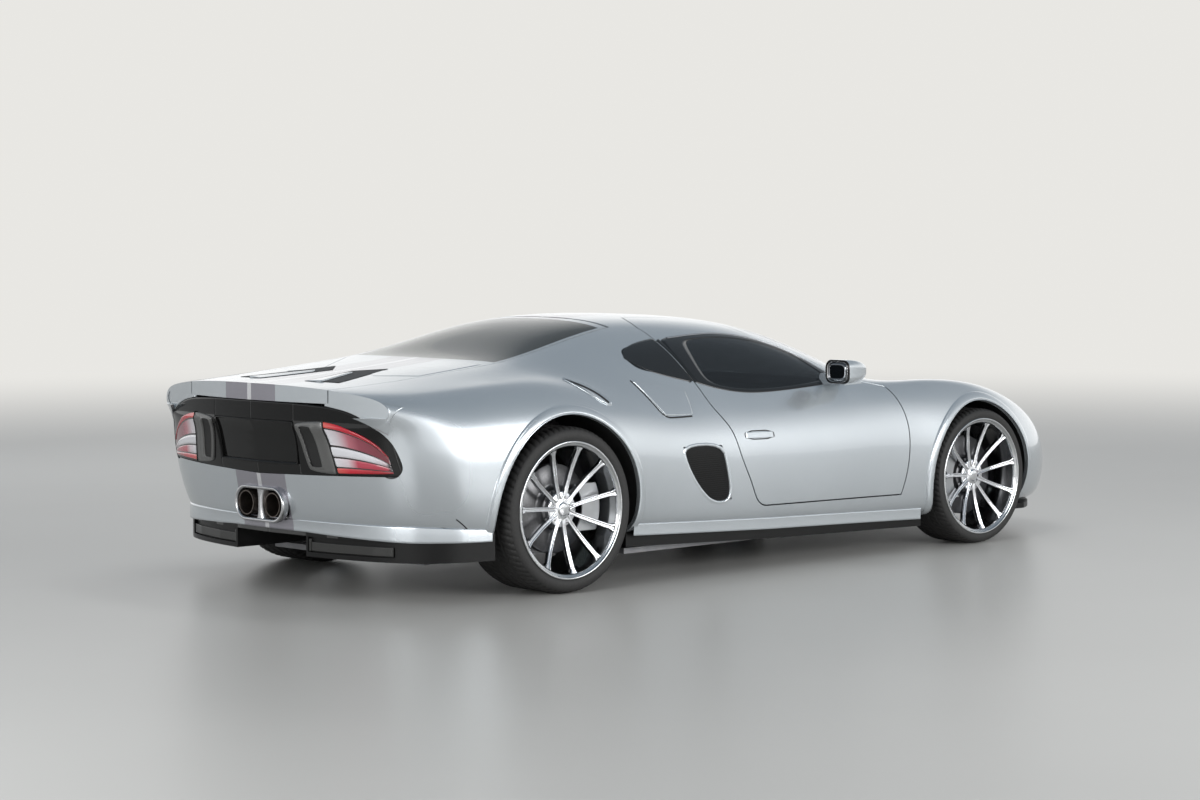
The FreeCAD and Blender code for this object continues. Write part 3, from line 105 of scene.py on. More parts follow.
def node(owner, kind, **inputs):
    """Adds a node to a material or to the world. Each keyword sets the socket of that name."""
    made = owner.node_tree.nodes.new(kind)
    for key, value in inputs.items():
        made.inputs[key].default_value = value
    return made


def wire(owner, source, target):
    """Joins an output socket to an input socket."""
    owner.node_tree.links.new(source, target)


def math_node(material, operation, first, second=0.0):
    """One Math node: each operand is a socket or a number."""
    made = node(material, "ShaderNodeMath")
    made.operation = operation
    for place, value in enumerate((first, second)):
        if isinstance(value, (int, float)):
            made.inputs[place].default_value = value
        else:
            wire(material, value, made.inputs[place])
    return made.outputs[0]


def mix_colours(owner, factor, first, second):
    """Blends two colours, each a socket or a tuple, by the socket of a factor."""
    made = node(owner, "ShaderNodeMix")
    made.data_type = "RGBA"
    wire(owner, factor, made.inputs[0])
    for place, value in ((6, first), (7, second)):
        if isinstance(value, tuple):
            made.inputs[place].default_value = value + (1.0,)
        else:
            wire(owner, value, made.inputs[place])
    return made.outputs[2]


def object_axes(material):
    """The sockets X, Y and Z of the object's own coordinates, which are the car's."""
    place = node(material, "ShaderNodeTexCoord")
    split = node(material, "ShaderNodeSeparateXYZ")
    wire(material, place.outputs["Object"], split.inputs[0])
    return split.outputs


def noise(material, scale, detail, stretch=(1.0, 1.0, 1.0)):
    """Noise on the object's coordinates, stretched along the axes."""
    place = node(material, "ShaderNodeTexCoord")
    mapping = node(material, "ShaderNodeMapping", Scale=stretch)
    texture = node(material, "ShaderNodeTexNoise", Scale=scale, Detail=detail)
    wire(material, place.outputs["Object"], mapping.inputs["Vector"])
    wire(material, mapping.outputs[0], texture.inputs["Vector"])
    return texture.outputs["Fac"]


def bump(material, height, distance, strength):
    """Turns a height socket into bump on the shader, with a distance in metres."""
    made = node(material, "ShaderNodeBump", Strength=strength, Distance=distance)
    wire(material, height, made.inputs["Height"])
    wire(material, made.outputs[0], shader_of(material).inputs["Normal"])


def vary(material, height, dark, light):
    """Lets the colour run between two tones with a height."""
    made = node(material, "ShaderNodeMapRange")
    wire(material, height, made.inputs["Value"])
    colour = mix_colours(material, made.outputs[0], dark, light)
    wire(material, colour, shader_of(material).inputs["Base Color"])


# %% [markdown]
# The floor is one large square. Far from the car it fades to the backdrop's own colour, for the
# camera alone, while lamps and reflections still meet a floor.

# %% Make the stage
backdrop = (0.81, 0.80, 0.77)
fade_from, fade_to = 6.0, 17.0


def fade_to_backdrop(material):
    """Far from the car the camera sees the backdrop's own colour, so there's no horizon line."""
    place = node(material, "ShaderNodeTexCoord")
    span = node(material, "ShaderNodeVectorMath")
    span.operation = "LENGTH"
    wire(material, place.outputs["Object"], span.inputs[0])
    share = node(material, "ShaderNodeMapRange")
    share.interpolation_type = "SMOOTHSTEP"
    share.inputs["From Min"].default_value = fade_from
    share.inputs["From Max"].default_value = fade_to
    wire(material, span.outputs["Value"], share.inputs["Value"])
    rays = node(material, "ShaderNodeLightPath")
    factor = math_node(material, "MULTIPLY", share.outputs["Result"], rays.outputs["Is Camera Ray"])
    glow = node(material, "ShaderNodeEmission")
    glow.inputs["Color"].default_value = backdrop + (1.0,)
    mix = node(material, "ShaderNodeMixShader")
    wire(material, factor, mix.inputs[0])
    wire(material, shader_of(material).outputs[0], mix.inputs[1])
    wire(material, glow.outputs[0], mix.inputs[2])
    wire(material, mix.outputs[0], material.node_tree.nodes["Material Output"].inputs["Surface"])


def stage_floor(size):
    """A square of pale floor, a millimetre under the tyres."""
    mesh = bpy.data.meshes.new("floor")
    corners = np.array([(-1, -1, 0), (1, -1, 0), (1, 1, 0), (-1, 1, 0)]) * size
    mesh.from_pydata(corners.tolist(), [], [(0, 1, 2, 3)])
    floor = bpy.data.objects.new("floor", mesh)
    bpy.context.scene.collection.objects.link(floor)
    floor.location.z = -0.001
    material = new_material("floor_pale", Roughness=0.35, Specular_IOR_Level=0.35)
    vary(material, noise(material, 0.6, 4.0), (0.43, 0.43, 0.415), (0.47, 0.47, 0.455))
    fade_to_backdrop(material)
    mesh.materials.append(material)


def set_world(wall, ceiling, fill):
    """Glossy and transmission rays see a wall that darkens towards the ceiling. The camera sees an
    even backdrop, and all other rays get an even fill."""
    world = bpy.data.worlds.new("studio")
    world.use_nodes = True
    bpy.context.scene.world = world
    place = node(world, "ShaderNodeTexCoord")
    split = node(world, "ShaderNodeSeparateXYZ")
    ramp = node(world, "ShaderNodeValToRGB")
    wire(world, place.outputs["Generated"], split.inputs[0])
    wire(world, split.outputs["Z"], ramp.inputs[0])
    points = ramp.color_ramp.elements
    points[0].position, points[0].color = 0.0, wall + (1.0,)
    points[1].position, points[1].color = 1.0, ceiling + (1.0,)
    for position, share in ((0.22, 0.0), (0.5, 0.85)):
        step = points.new(position)
        step.color = tuple(w + (c - w) * share for w, c in zip(wall, ceiling)) + (1.0,)
    rays = node(world, "ShaderNodeLightPath").outputs
    colour = mix_colours(world, rays["Is Glossy Ray"], fill, ramp.outputs[0])
    colour = mix_colours(world, rays["Is Transmission Ray"], colour, ramp.outputs[0])
    colour = mix_colours(world, rays["Is Camera Ray"], colour, backdrop)
    wire(world, colour, world.node_tree.nodes["Background"].inputs[0])


def area_lamp(name, place, target, size_x, size_y, watts, mirrored=True):
    """A rectangular lamp at a place, aimed at a target. It may be kept out of reflections."""
    data = bpy.data.lights.new(name, "AREA")
    data.shape = "RECTANGLE"
    data.size, data.size_y = size_x, size_y
    data.energy = watts
    lamp = bpy.data.objects.new(name, data)
    lamp.location = place
    lamp.visible_glossy = mirrored
    lamp.rotation_euler = (Vector(target) - Vector(place)).to_track_quat("-Z", "Y").to_euler()
    bpy.context.scene.collection.objects.link(lamp)


stage_floor(60.0)
set_world(wall=(1.10, 1.11, 1.11), ceiling=(0.15, 0.20, 0.25), fill=(0.42, 0.43, 0.44))
area_lamp("lamp_overhead", (0.5, 0.0, 5.0), (0.0, 0.0, 0.0), 3.0, 0.9, 45.0, False)
area_lamp("lamp_flank", (1.0, -8.5, 2.4), (0.0, -0.5, 0.5), 8.0, 2.4, 430.0)
area_lamp("lamp_tail", (-8.0, -2.0, 2.2), (-1.5, 0.0, 0.6), 4.0, 2.0, 170.0)
area_lamp("lamp_far_side", (1.0, 7.0, 3.0), (0.0, 0.0, 0.6), 6.0, 1.6, 50.0, False)
bpy.context.scene.view_settings.view_transform = "Standard"

# %% [markdown]
# ## The skin as one surface
# The bodywork was shaped as a single cubic B-spline surface and then cut into panels. The panels
# come to us as triangles, and gloss paint would show every one of them. So we work out the same
# surface again from its control net, and lend its normals to the panels. The net has one row of
# points for each station from tail to nose.

# %% The control net
loft_station_shares = [
    (-0.351, -0.397), (-0.347, -0.391), (-0.332, -0.376), (-0.310, -0.352), (-0.283, -0.321),
    (-0.249, -0.282), (-0.207, -0.221), (-0.148, -0.148), (-0.074, -0.074), (0.000, 0.000),
    (0.074, 0.074), (0.148, 0.148), (0.221, 0.221), (0.295, 0.295), (0.369, 0.369), (0.443, 0.443),
    (0.517, 0.517), (0.590, 0.590), (0.664, 0.664), (0.738, 0.738), (0.793, 0.793), (0.849, 0.849),
    (0.904, 0.904), (0.978, 0.978), (1.052, 1.052), (1.125, 1.125), (1.192, 1.188), (1.244, 1.244),
    (1.284, 1.292), (1.314, 1.332), (1.328, 1.365), (1.333, 1.380),
]
loft_breadth_shares = [
    (0.000, 0.000, 0.000, 0.000, 0.000, 0.000, 0.000, 0.000, 0.000, 0.000, 0.000, 0.000),
    (0.238, 0.269, 0.287, 0.297, 0.298, 0.289, 0.237, 0.217, 0.192, 0.152, 0.076, 0.000),
    (0.430, 0.486, 0.518, 0.537, 0.539, 0.522, 0.455, 0.424, 0.374, 0.293, 0.152, 0.000),
    (0.599, 0.678, 0.721, 0.748, 0.750, 0.726, 0.657, 0.606, 0.525, 0.404, 0.212, 0.000),
    (0.687, 0.777, 0.827, 0.859, 0.861, 0.834, 0.773, 0.702, 0.596, 0.444, 0.232, 0.000),
    (0.733, 0.830, 0.883, 0.916, 0.918, 0.889, 0.823, 0.732, 0.606, 0.444, 0.232, 0.000),
    (0.768, 0.869, 0.924, 0.960, 0.962, 0.931, 0.846, 0.732, 0.576, 0.404, 0.212, 0.000),
    (0.808, 0.909, 0.955, 0.985, 0.983, 0.947, 0.864, 0.737, 0.591, 0.414, 0.217, 0.000),
    (0.818, 0.919, 0.965, 0.995, 0.991, 0.952, 0.859, 0.729, 0.598, 0.424, 0.217, 0.000),
    (0.823, 0.924, 0.968, 0.998, 0.995, 0.952, 0.854, 0.735, 0.618, 0.485, 0.242, 0.000),
    (0.823, 0.924, 0.965, 0.993, 0.986, 0.937, 0.848, 0.747, 0.636, 0.495, 0.253, 0.000),
    (0.820, 0.921, 0.960, 0.980, 0.972, 0.934, 0.879, 0.798, 0.677, 0.510, 0.273, 0.000),
    (0.818, 0.919, 0.949, 0.960, 0.955, 0.924, 0.879, 0.820, 0.707, 0.525, 0.283, 0.000),
    (0.813, 0.914, 0.941, 0.949, 0.944, 0.914, 0.874, 0.825, 0.712, 0.535, 0.293, 0.000),
    (0.808, 0.909, 0.937, 0.944, 0.939, 0.909, 0.873, 0.828, 0.709, 0.540, 0.293, 0.000),
    (0.808, 0.909, 0.937, 0.944, 0.939, 0.911, 0.875, 0.834, 0.712, 0.540, 0.293, 0.000),
    (0.808, 0.909, 0.937, 0.944, 0.939, 0.911, 0.875, 0.836, 0.712, 0.533, 0.288, 0.000),
    (0.808, 0.909, 0.937, 0.944, 0.939, 0.911, 0.875, 0.838, 0.713, 0.523, 0.283, 0.000),
    (0.808, 0.909, 0.937, 0.945, 0.941, 0.913, 0.875, 0.836, 0.719, 0.525, 0.288, 0.000),
    (0.808, 0.911, 0.939, 0.947, 0.944, 0.915, 0.873, 0.820, 0.719, 0.535, 0.293, 0.000),
    (0.808, 0.914, 0.941, 0.952, 0.947, 0.917, 0.867, 0.793, 0.697, 0.525, 0.293, 0.000),
    (0.808, 0.919, 0.949, 0.962, 0.954, 0.917, 0.857, 0.770, 0.669, 0.505, 0.283, 0.000),
    (0.808, 0.924, 0.965, 0.981, 0.969, 0.920, 0.853, 0.761, 0.652, 0.480, 0.258, 0.000),
    (0.803, 0.925, 0.973, 0.994, 0.976, 0.917, 0.842, 0.747, 0.632, 0.460, 0.244, 0.000),
    (0.776, 0.909, 0.967, 0.992, 0.969, 0.905, 0.818, 0.717, 0.608, 0.439, 0.227, 0.000),
    (0.723, 0.869, 0.935, 0.965, 0.937, 0.870, 0.773, 0.670, 0.561, 0.404, 0.207, 0.000),
    (0.657, 0.798, 0.869, 0.898, 0.870, 0.808, 0.712, 0.610, 0.505, 0.364, 0.184, 0.000),
    (0.596, 0.727, 0.788, 0.813, 0.790, 0.729, 0.640, 0.545, 0.449, 0.323, 0.162, 0.000),
    (0.515, 0.636, 0.697, 0.719, 0.697, 0.638, 0.554, 0.471, 0.386, 0.278, 0.139, 0.000),
    (0.394, 0.485, 0.535, 0.554, 0.535, 0.485, 0.424, 0.354, 0.293, 0.207, 0.101, 0.000),
    (0.202, 0.253, 0.278, 0.288, 0.278, 0.253, 0.222, 0.187, 0.152, 0.106, 0.053, 0.000),
    (0.000, 0.000, 0.000, 0.000, 0.000, 0.000, 0.000, 0.000, 0.000, 0.000, 0.000, 0.000),
]
loft_height_shares = [
    (0.265, 0.265, 0.301, 0.416, 0.540, 0.650, 0.742, 0.766, 0.775, 0.784, 0.787, 0.787),
    (0.265, 0.265, 0.301, 0.416, 0.540, 0.649, 0.736, 0.763, 0.773, 0.783, 0.787, 0.787),
    (0.262, 0.262, 0.299, 0.416, 0.540, 0.644, 0.727, 0.758, 0.770, 0.782, 0.787, 0.787),
    (0.253, 0.253, 0.296, 0.416, 0.542, 0.639, 0.715, 0.750, 0.766, 0.781, 0.788, 0.788),
    (0.243, 0.243, 0.292, 0.416, 0.543, 0.641, 0.719, 0.752, 0.768, 0.782, 0.790, 0.790),
    (0.232, 0.232, 0.288, 0.416, 0.547, 0.657, 0.736, 0.761, 0.774, 0.786, 0.794, 0.794),
    (0.221, 0.221, 0.283, 0.416, 0.553, 0.677, 0.754, 0.770, 0.786, 0.798, 0.805, 0.805),
    (0.211, 0.211, 0.283, 0.425, 0.571, 0.699, 0.773, 0.785, 0.800, 0.814, 0.820, 0.820),
    (0.204, 0.204, 0.283, 0.434, 0.584, 0.712, 0.782, 0.798, 0.818, 0.832, 0.837, 0.837),
    (0.199, 0.199, 0.283, 0.442, 0.593, 0.719, 0.781, 0.805, 0.832, 0.848, 0.853, 0.853),
    (0.196, 0.196, 0.283, 0.442, 0.588, 0.699, 0.754, 0.789, 0.839, 0.887, 0.899, 0.899),
    (0.195, 0.195, 0.283, 0.434, 0.566, 0.655, 0.708, 0.761, 0.845, 0.927, 0.950, 0.950),
    (0.190, 0.190, 0.274, 0.416, 0.531, 0.615, 0.674, 0.742, 0.841, 0.956, 0.987, 0.987),
    (0.181, 0.181, 0.265, 0.407, 0.522, 0.604, 0.668, 0.730, 0.850, 0.966, 1.003, 1.003),
    (0.173, 0.173, 0.257, 0.398, 0.513, 0.598, 0.662, 0.719, 0.857, 0.967, 1.004, 1.004),
    (0.165, 0.165, 0.252, 0.394, 0.509, 0.595, 0.657, 0.710, 0.851, 0.962, 0.997, 0.997),
    (0.161, 0.161, 0.248, 0.389, 0.504, 0.593, 0.655, 0.708, 0.841, 0.949, 0.986, 0.986),
    (0.156, 0.156, 0.244, 0.386, 0.503, 0.593, 0.657, 0.708, 0.819, 0.922, 0.962, 0.962),
    (0.150, 0.150, 0.239, 0.382, 0.501, 0.595, 0.662, 0.712, 0.783, 0.873, 0.919, 0.919),
    (0.145, 0.145, 0.235, 0.379, 0.501, 0.600, 0.673, 0.713, 0.739, 0.803, 0.854, 0.854),
    (0.142, 0.142, 0.230, 0.376, 0.504, 0.611, 0.687, 0.713, 0.713, 0.738, 0.788, 0.788),
    (0.138, 0.138, 0.230, 0.381, 0.518, 0.630, 0.699, 0.710, 0.688, 0.690, 0.717, 0.717),
    (0.135, 0.135, 0.230, 0.381, 0.529, 0.646, 0.707, 0.710, 0.673, 0.658, 0.665, 0.665),
    (0.133, 0.133, 0.227, 0.375, 0.531, 0.650, 0.702, 0.697, 0.655, 0.630, 0.632, 0.632),
    (0.133, 0.133, 0.222, 0.365, 0.519, 0.632, 0.678, 0.668, 0.624, 0.599, 0.598, 0.598),
    (0.133, 0.133, 0.215, 0.354, 0.494, 0.595, 0.633, 0.619, 0.580, 0.556, 0.550, 0.550),
    (0.133, 0.133, 0.207, 0.335, 0.460, 0.544, 0.581, 0.566, 0.531, 0.507, 0.502, 0.502),
    (0.133, 0.133, 0.201, 0.319, 0.425, 0.492, 0.527, 0.515, 0.485, 0.464, 0.458, 0.458),
    (0.133, 0.133, 0.195, 0.303, 0.389, 0.439, 0.469, 0.460, 0.435, 0.420, 0.416, 0.416),
    (0.133, 0.133, 0.190, 0.288, 0.356, 0.389, 0.412, 0.407, 0.389, 0.381, 0.377, 0.377),
    (0.133, 0.133, 0.186, 0.276, 0.329, 0.352, 0.365, 0.363, 0.354, 0.350, 0.348, 0.348),
    (0.133, 0.133, 0.184, 0.270, 0.319, 0.338, 0.350, 0.350, 0.343, 0.341, 0.339, 0.339),
]
wheelbase, half_width, roof_height = 2.710, 0.990, 1.130
rear_axle_x, front_axle_x = -1.3445, 1.3655
tail_lean_shares = np.array([0.035, 0.033, 0.028, 0.018, 0.010, 0.003] + [0.0] * 6)
tail_fade_shares = np.array([1.0] * 6 + [0.3] + [0.0] * 25)


def control_net():
    """Poles as an array (stations, rows, 3): the underside's middle first, then twelve rows."""
    along = np.array(loft_station_shares)
    breadth = np.array(loft_breadth_shares)
    height = np.array(loft_height_shares)
    side = np.arange(12) < 6
    x = np.where(side, along[:, :1], along[:, 1:]) + tail_lean_shares * tail_fade_shares[:, None]
    net = np.stack([rear_axle_x + x * wheelbase, -breadth * half_width, height * roof_height], -1)
    keel = net[:, :1] * (1.0, 0.0, 1.0)
    return np.concatenate([keel, net], 1)


def spline_weights(count, t, degree=3):
    """Basis functions of a clamped uniform B-spline at every t, by the recursion over degree:
    each is a blend of its two lower neighbours."""
    inner = np.linspace(0.0, 1.0, count - degree + 1)
    knots = np.concatenate([np.zeros(degree), inner, np.ones(degree)])
    t = np.clip(t, 0.0, 1.0 - 1e-12)[:, None]
    weights = ((knots[:-1] <= t) & (t < knots[1:])).astype(float)
    for d in range(1, degree + 1):
        rise = knots[d:-1] - knots[:-d - 1]
        fall = knots[d + 1:] - knots[1:-d]
        up_part = np.where(rise > 0, (t - knots[:-d - 1]) / np.where(rise > 0, rise, 1.0), 0.0)
        down_part = np.where(fall > 0, (knots[d + 1:] - t) / np.where(fall > 0, fall, 1.0), 0.0)
        weights = up_part * weights[:, :-1] + down_part * weights[:, 1:]
    return weights


# %% [markdown]
# Every new piece is a grid of points worked out with numpy. Its faces are quads between neighbours
# in the grid, and whole arrays go into the mesh at once. That is quick, and it keeps the formula
# of a shape in one place.

# %% Helpers for meshes
def grid_faces(columns, rows, close_u, close_v):
    """Quads of a grid, with its ends joined where it closes on itself."""
    u = np.arange(columns if close_u else columns - 1)
    v = np.arange(rows if close_v else rows - 1)
    u, v = np.meshgrid(u, v, indexing="ij")
    u2, v2 = (u + 1) % columns, (v + 1) % rows
    quads = np.stack([u * rows + v, u2 * rows + v, u2 * rows + v2, u * rows + v2], -1)
    return quads.reshape(-1, 4)


def grid_part(points, close_u=False, close_v=False, flip=False):
    """Vertices and quads of an array of points (columns, rows, 3)."""
    faces = grid_faces(points.shape[0], points.shape[1], close_u, close_v)
    return points.reshape(-1, 3), faces[:, ::-1] if flip else faces


def joined(parts):
    """Several pairs of vertices and quads as one."""
    vertices, faces, first = [], [], 0
    for points, quads in parts:
        vertices.append(points)
        faces.append(quads + first)
        first += len(points)
    return np.concatenate(vertices), np.concatenate(faces)


def mirrored(part):
    """The same part on the car's other side, with its faces turned round again."""
    points, quads = part
    return points * (1.0, -1.0, 1.0), quads[:, ::-1]


def turned_out(mesh):
    """Makes closed shells point outwards."""
    work = bmesh.new()
    work.from_mesh(mesh)
    bmesh.ops.remove_doubles(work, verts=work.verts, dist=1e-6)
    bmesh.ops.recalc_face_normals(work, faces=work.faces)
    work.to_mesh(mesh)
    work.free()


def make(name, parts, material, body, smooth=True, outwards=False, stands_for=()):
    """Builds one object at the origin from parts, and lets it ride on a body."""
    vertices, faces = joined(parts)
    mesh = bpy.data.meshes.new(name)
    mesh.vertices.add(len(vertices))
    mesh.vertices.foreach_set("co", vertices.astype(np.float32).ravel())
    mesh.loops.add(faces.size)
    mesh.loops.foreach_set("vertex_index", faces.astype(np.int32).ravel())
    mesh.polygons.add(len(faces))
    mesh.polygons.foreach_set("loop_start", np.arange(0, faces.size, faces.shape[1], dtype=np.int32))
    mesh.update(calc_edges=True)
    mesh.validate()
    if outwards:
        turned_out(mesh)
    mesh.polygons.foreach_set("use_smooth", np.full(len(mesh.polygons), smooth))
    mesh.materials.append(material)
    piece = bpy.data.objects.new(name, mesh)
    bpy.context.scene.collection.objects.link(piece)
    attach(piece, body)
    if stands_for:
        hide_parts(*stands_for)
    return piece


# %% [markdown]
# For every corner of a panel we find the nearest place on the spline surface. A coarse grid gives
# a first guess, and Newton's method improves it: the miss is split along the two slopes of the
# surface, and each parameter moves by its share. The normal there is exact, so the paint mirrors
# the studio in smooth lines. We use it only where a face truly lies along the skin, so the cut
# edges of a panel stay crisp. On the inner face of a panel the same normal counts reversed.

# %% The skin at any parameters
net = control_net()
# A place inside the car: an outward normal points away from it.
heart = np.array([0.0, 0.0, 0.48])
# The furthest that one step of Newton's method may move each parameter.
step_u, step_v = 0.02, 0.03


def skin_at(u, v):
    """The surface at pairs of parameters: a weighted sum of the poles."""
    along, across = spline_weights(net.shape[0], u), spline_weights(net.shape[1], v)
    return np.einsum("ni,nj,ijk->nk", along, across, net, optimize=True)


def skin_slopes(u, v, step=1e-4):
    """The surface with its two slopes, by differences."""
    u, v = np.clip(u, 0.0, 1.0 - step), np.clip(v, 0.0, 1.0 - step)
    here = skin_at(u, v)
    return here, (skin_at(u + step, v) - here) / step, (skin_at(u, v + step) - here) / step


guess_grid = np.meshgrid(np.linspace(0.01, 0.99, 240), np.linspace(0.01, 0.99, 100), indexing="ij")
guess_u, guess_v = (axis.ravel() for axis in guess_grid)
guess_point, guess_du, guess_dv = skin_slopes(guess_u, guess_v)
guess_normal = np.cross(guess_du, guess_dv)
guess_normal /= np.linalg.norm(guess_normal, axis=1)[:, None]
guess_normal *= np.sign(((guess_point - heart) * (0.3, 1.0, 1.0) * guess_normal).sum(1))[:, None]


def first_guess(targets, places, reach):
    """Index of the nearest guess for every target, sorted along the first axis to keep it quick."""
    order = np.argsort(targets[:, 0])
    found = np.zeros(len(targets), int)
    for part in np.array_split(order, max(1, len(order) // 250)):
        low, high = targets[part, 0].min() - reach, targets[part, 0].max() + reach
        near = np.flatnonzero((places[:, 0] > low) & (places[:, 0] < high))
        gap = ((targets[part][:, None] - places[near][None]) ** 2).sum(2)
        found[part] = near[gap.argmin(1)]
    return found


def moved(value, change, limit):
    """A parameter after one step of limited length, kept on the surface."""
    return np.clip(value + np.clip(change, -limit, limit), 0.0, 1.0)


def outward(du, dv, index):
    """Unit normals from two slopes, on the side of the normals that the guesses have."""
    normal = np.cross(du, dv)
    normal /= np.linalg.norm(normal, axis=1)[:, None] + 1e-12
    return normal * np.sign((normal * guess_normal[index]).sum(1))[:, None]


def nearest_on_skin(points):
    """The nearest places on the right half of the skin, with the outward normals there."""
    index = first_guess(points, guess_point, 0.10)
    u, v = guess_u[index].copy(), guess_v[index].copy()
    for _ in range(4):
        here, du, dv = skin_slopes(u, v)
        miss = points - here
        a, b, c = (du * du).sum(1), (du * dv).sum(1), (dv * dv).sum(1)
        e, f = (miss * du).sum(1), (miss * dv).sum(1)
        size = np.maximum(a * c - b * b, 1e-12)
        u, v = moved(u, (e * c - f * b) / size, step_u), moved(v, (f * a - e * b) / size, step_v)
    here, du, dv = skin_slopes(u, v)
    return here, outward(du, dv, index)


# %% [markdown]
# The CAD panel's own mesh stays untouched. We take a copy, merge its loose triangles and give each
# corner a normal: the skin's where its face lies along the skin, and the face's own elsewhere.

# %% Copies of the panels with smooth normals
def values_of(items, key, width=1, kind=float):
    """One property of all vertices, corners or faces of a mesh as an array."""
    values = np.zeros(len(items) * width, kind)
    items.foreach_get(key, values)
    return values.reshape(-1, width) if width > 1 else values


def lent_normals(mesh, agree=0.90, loosely=0.30, near=0.0006):
    """A normal for every corner. The skin's is used where it agrees with the face's own, or where it
    agrees loosely and the whole face is near the skin. An inner face takes it reversed."""
    points = values_of(mesh.vertices, "co", 3)
    side = np.where(points[:, 1] > 0, -1.0, 1.0)[:, None] * (0.0, 1.0, 0.0) + (1.0, 0.0, 1.0)
    foot, normal = nearest_on_skin(points * side)
    gap = np.linalg.norm(points * side - foot, axis=1)
    corner = values_of(mesh.loops, "vertex_index", 1, np.int32)
    first = values_of(mesh.polygons, "loop_start", 1, np.int32)
    sizes = values_of(mesh.polygons, "loop_total", 1, np.int32)
    own = np.repeat(values_of(mesh.polygons, "normal", 3), sizes, axis=0)
    close = np.repeat(np.logical_and.reduceat(gap[corner] < near, first), sizes)
    lent = (normal * side)[corner]
    match = (lent * own).sum(1)
    use = (match > agree) | (close & (match > loosely))
    return np.where(use[:, None], lent, np.where((match < -agree)[:, None], -lent, own))


def smooth_copy(name, material, body):
    """A copy of a CAD panel whose corners carry the skin's own normals where it lies on the skin."""
    mesh = nodes[name].data.copy()
    mesh.name = name + "_skin"
    work = bmesh.new()
    work.from_mesh(mesh)
    bmesh.ops.remove_doubles(work, verts=work.verts, dist=2e-5)
    work.to_mesh(mesh)
    work.free()
    mesh.polygons.foreach_set("use_smooth", np.ones(len(mesh.polygons), bool))
    mesh.materials.clear()
    mesh.materials.append(material)
    mesh.normals_split_custom_set(lent_normals(mesh).tolist())
    piece = bpy.data.objects.new(name + "_skin", mesh)
    bpy.context.scene.collection.objects.link(piece)
    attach(piece, body)
    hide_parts(name)
    return piece


# %% [markdown]
# ## Paint
# The car wears a cool silver metallic paint under clear lacquer. Two grey bands with a thin white
# line between them run over its middle from the bumper to the bonnet. The bands are a function
# of Y alone, so one material serves every panel: it asks how far a point is from the middle.
# Tiny flakes tilt the surface a little, which softens each reflection below the sharp lacquer.

# %% Paint materials
stripe_edge, line_edge = 0.172, 0.013
silver_deep, silver_bright = (0.56, 0.60, 0.63), (0.60, 0.64, 0.67)
band_grey, line_white = (0.34, 0.33, 0.37), (0.80, 0.80, 0.82)


def lacquered(name):
    """Metallic paint with fine flakes under clear lacquer, and the noise of its slow change in tone."""
    material = new_material(name, Metallic=0.72, Roughness=0.27, Coat_Weight=1.0, Coat_Roughness=0.04)
    bump(material, noise(material, 2600.0, 1.0), 0.00002, 0.35)
    return material, noise(material, 3.0, 2.0)


def silver_paint():
    """The silver with the grey bands and the white line over the car's middle."""
    material, cloud = lacquered("silver_paint")
    away = math_node(material, "ABSOLUTE", object_axes(material)["Y"])
    inside = math_node(material, "LESS_THAN", away, stripe_edge)
    line = math_node(material, "LESS_THAN", away, line_edge)
    silver = mix_colours(material, cloud, silver_deep, silver_bright)
    striped = mix_colours(material, inside, silver, band_grey)
    colour = mix_colours(material, line, striped, line_white)
    wire(material, colour, shader_of(material).inputs["Base Color"])
    return material


def plain_silver():
    """The same paint for small parts off the middle."""
    material, cloud = lacquered("silver_paint_plain")
    vary(material, cloud, silver_deep, silver_bright)
    return material


paint = silver_paint()
paint_plain = plain_silver()

# %% [markdown]
# ## Glass, rubber, metal and trim
# Every finish gets the detail that the real one shows at its own scale: smoked glass is dark and
# nearly grey, rubber is dull with a fine grain, alloy is bright and hardly uneven, and black trim
# shows a faint grain. One function makes all the solid finishes, and another makes the glass.

# %% The other finishes
def glass(name, tint):
    """Clear glass of one tint, a little deeper in places."""
    material = new_material(name, Roughness=0.01, IOR=1.45, Transmission_Weight=0.92)
    vary(material, noise(material, 1.5, 2.0), tint, tuple(0.85 * c for c in tint))
    return material


def trim(name, dark, light, roughness, scale, depth, metallic=0.0, coat=0.0, stretch=(1.0, 1.0, 1.0)):
    """A finish whose colour and surface both follow one noise, with its depth in metres."""
    material = new_material(name, Metallic=metallic, Roughness=roughness, Coat_Weight=coat,
                            Coat_Roughness=0.03)
    grain = noise(material, scale, 4.0, stretch)
    vary(material, grain, dark, light)
    if depth:
        bump(material, grain, depth, 0.5)
    return material


glass_side = glass("glass_side", (0.075, 0.085, 0.095))
glass_rear = glass("glass_rear", (0.20, 0.20, 0.17))
glass_front = glass("glass_front", (0.45, 0.48, 0.47))
glass_lamp = glass("glass_lamp", (0.85, 0.87, 0.88))
gloss_black = trim("gloss_black", (0.004, 0.004, 0.004), (0.007, 0.007, 0.007), 0.10, 6.0, 0.0, 0.0, 0.15)
satin_black = trim("satin_black", (0.005, 0.005, 0.005), (0.010, 0.010, 0.010), 0.36, 900.0, 0.00004)
for finish, level in ((gloss_black, 0.30), (satin_black, 0.22)):
    shader_of(finish).inputs["Specular IOR Level"].default_value = level
dark_plastic = trim("dark_plastic", (0.018, 0.018, 0.018), (0.035, 0.035, 0.036), 0.62, 700.0, 0.0001)
window_trim = trim("window_trim", (0.004, 0.004, 0.004), (0.008, 0.008, 0.008), 0.25, 40.0, 0.0, 0.0, 0.4)
polished = trim("polished_alloy", (0.72, 0.73, 0.75), (0.80, 0.81, 0.83), 0.09, 60.0, 0.00001, 1.0)
rim_metal = trim("rim_metal", (0.50, 0.51, 0.52), (0.66, 0.67, 0.68), 0.16, 60.0, 0.00001, 1.0)
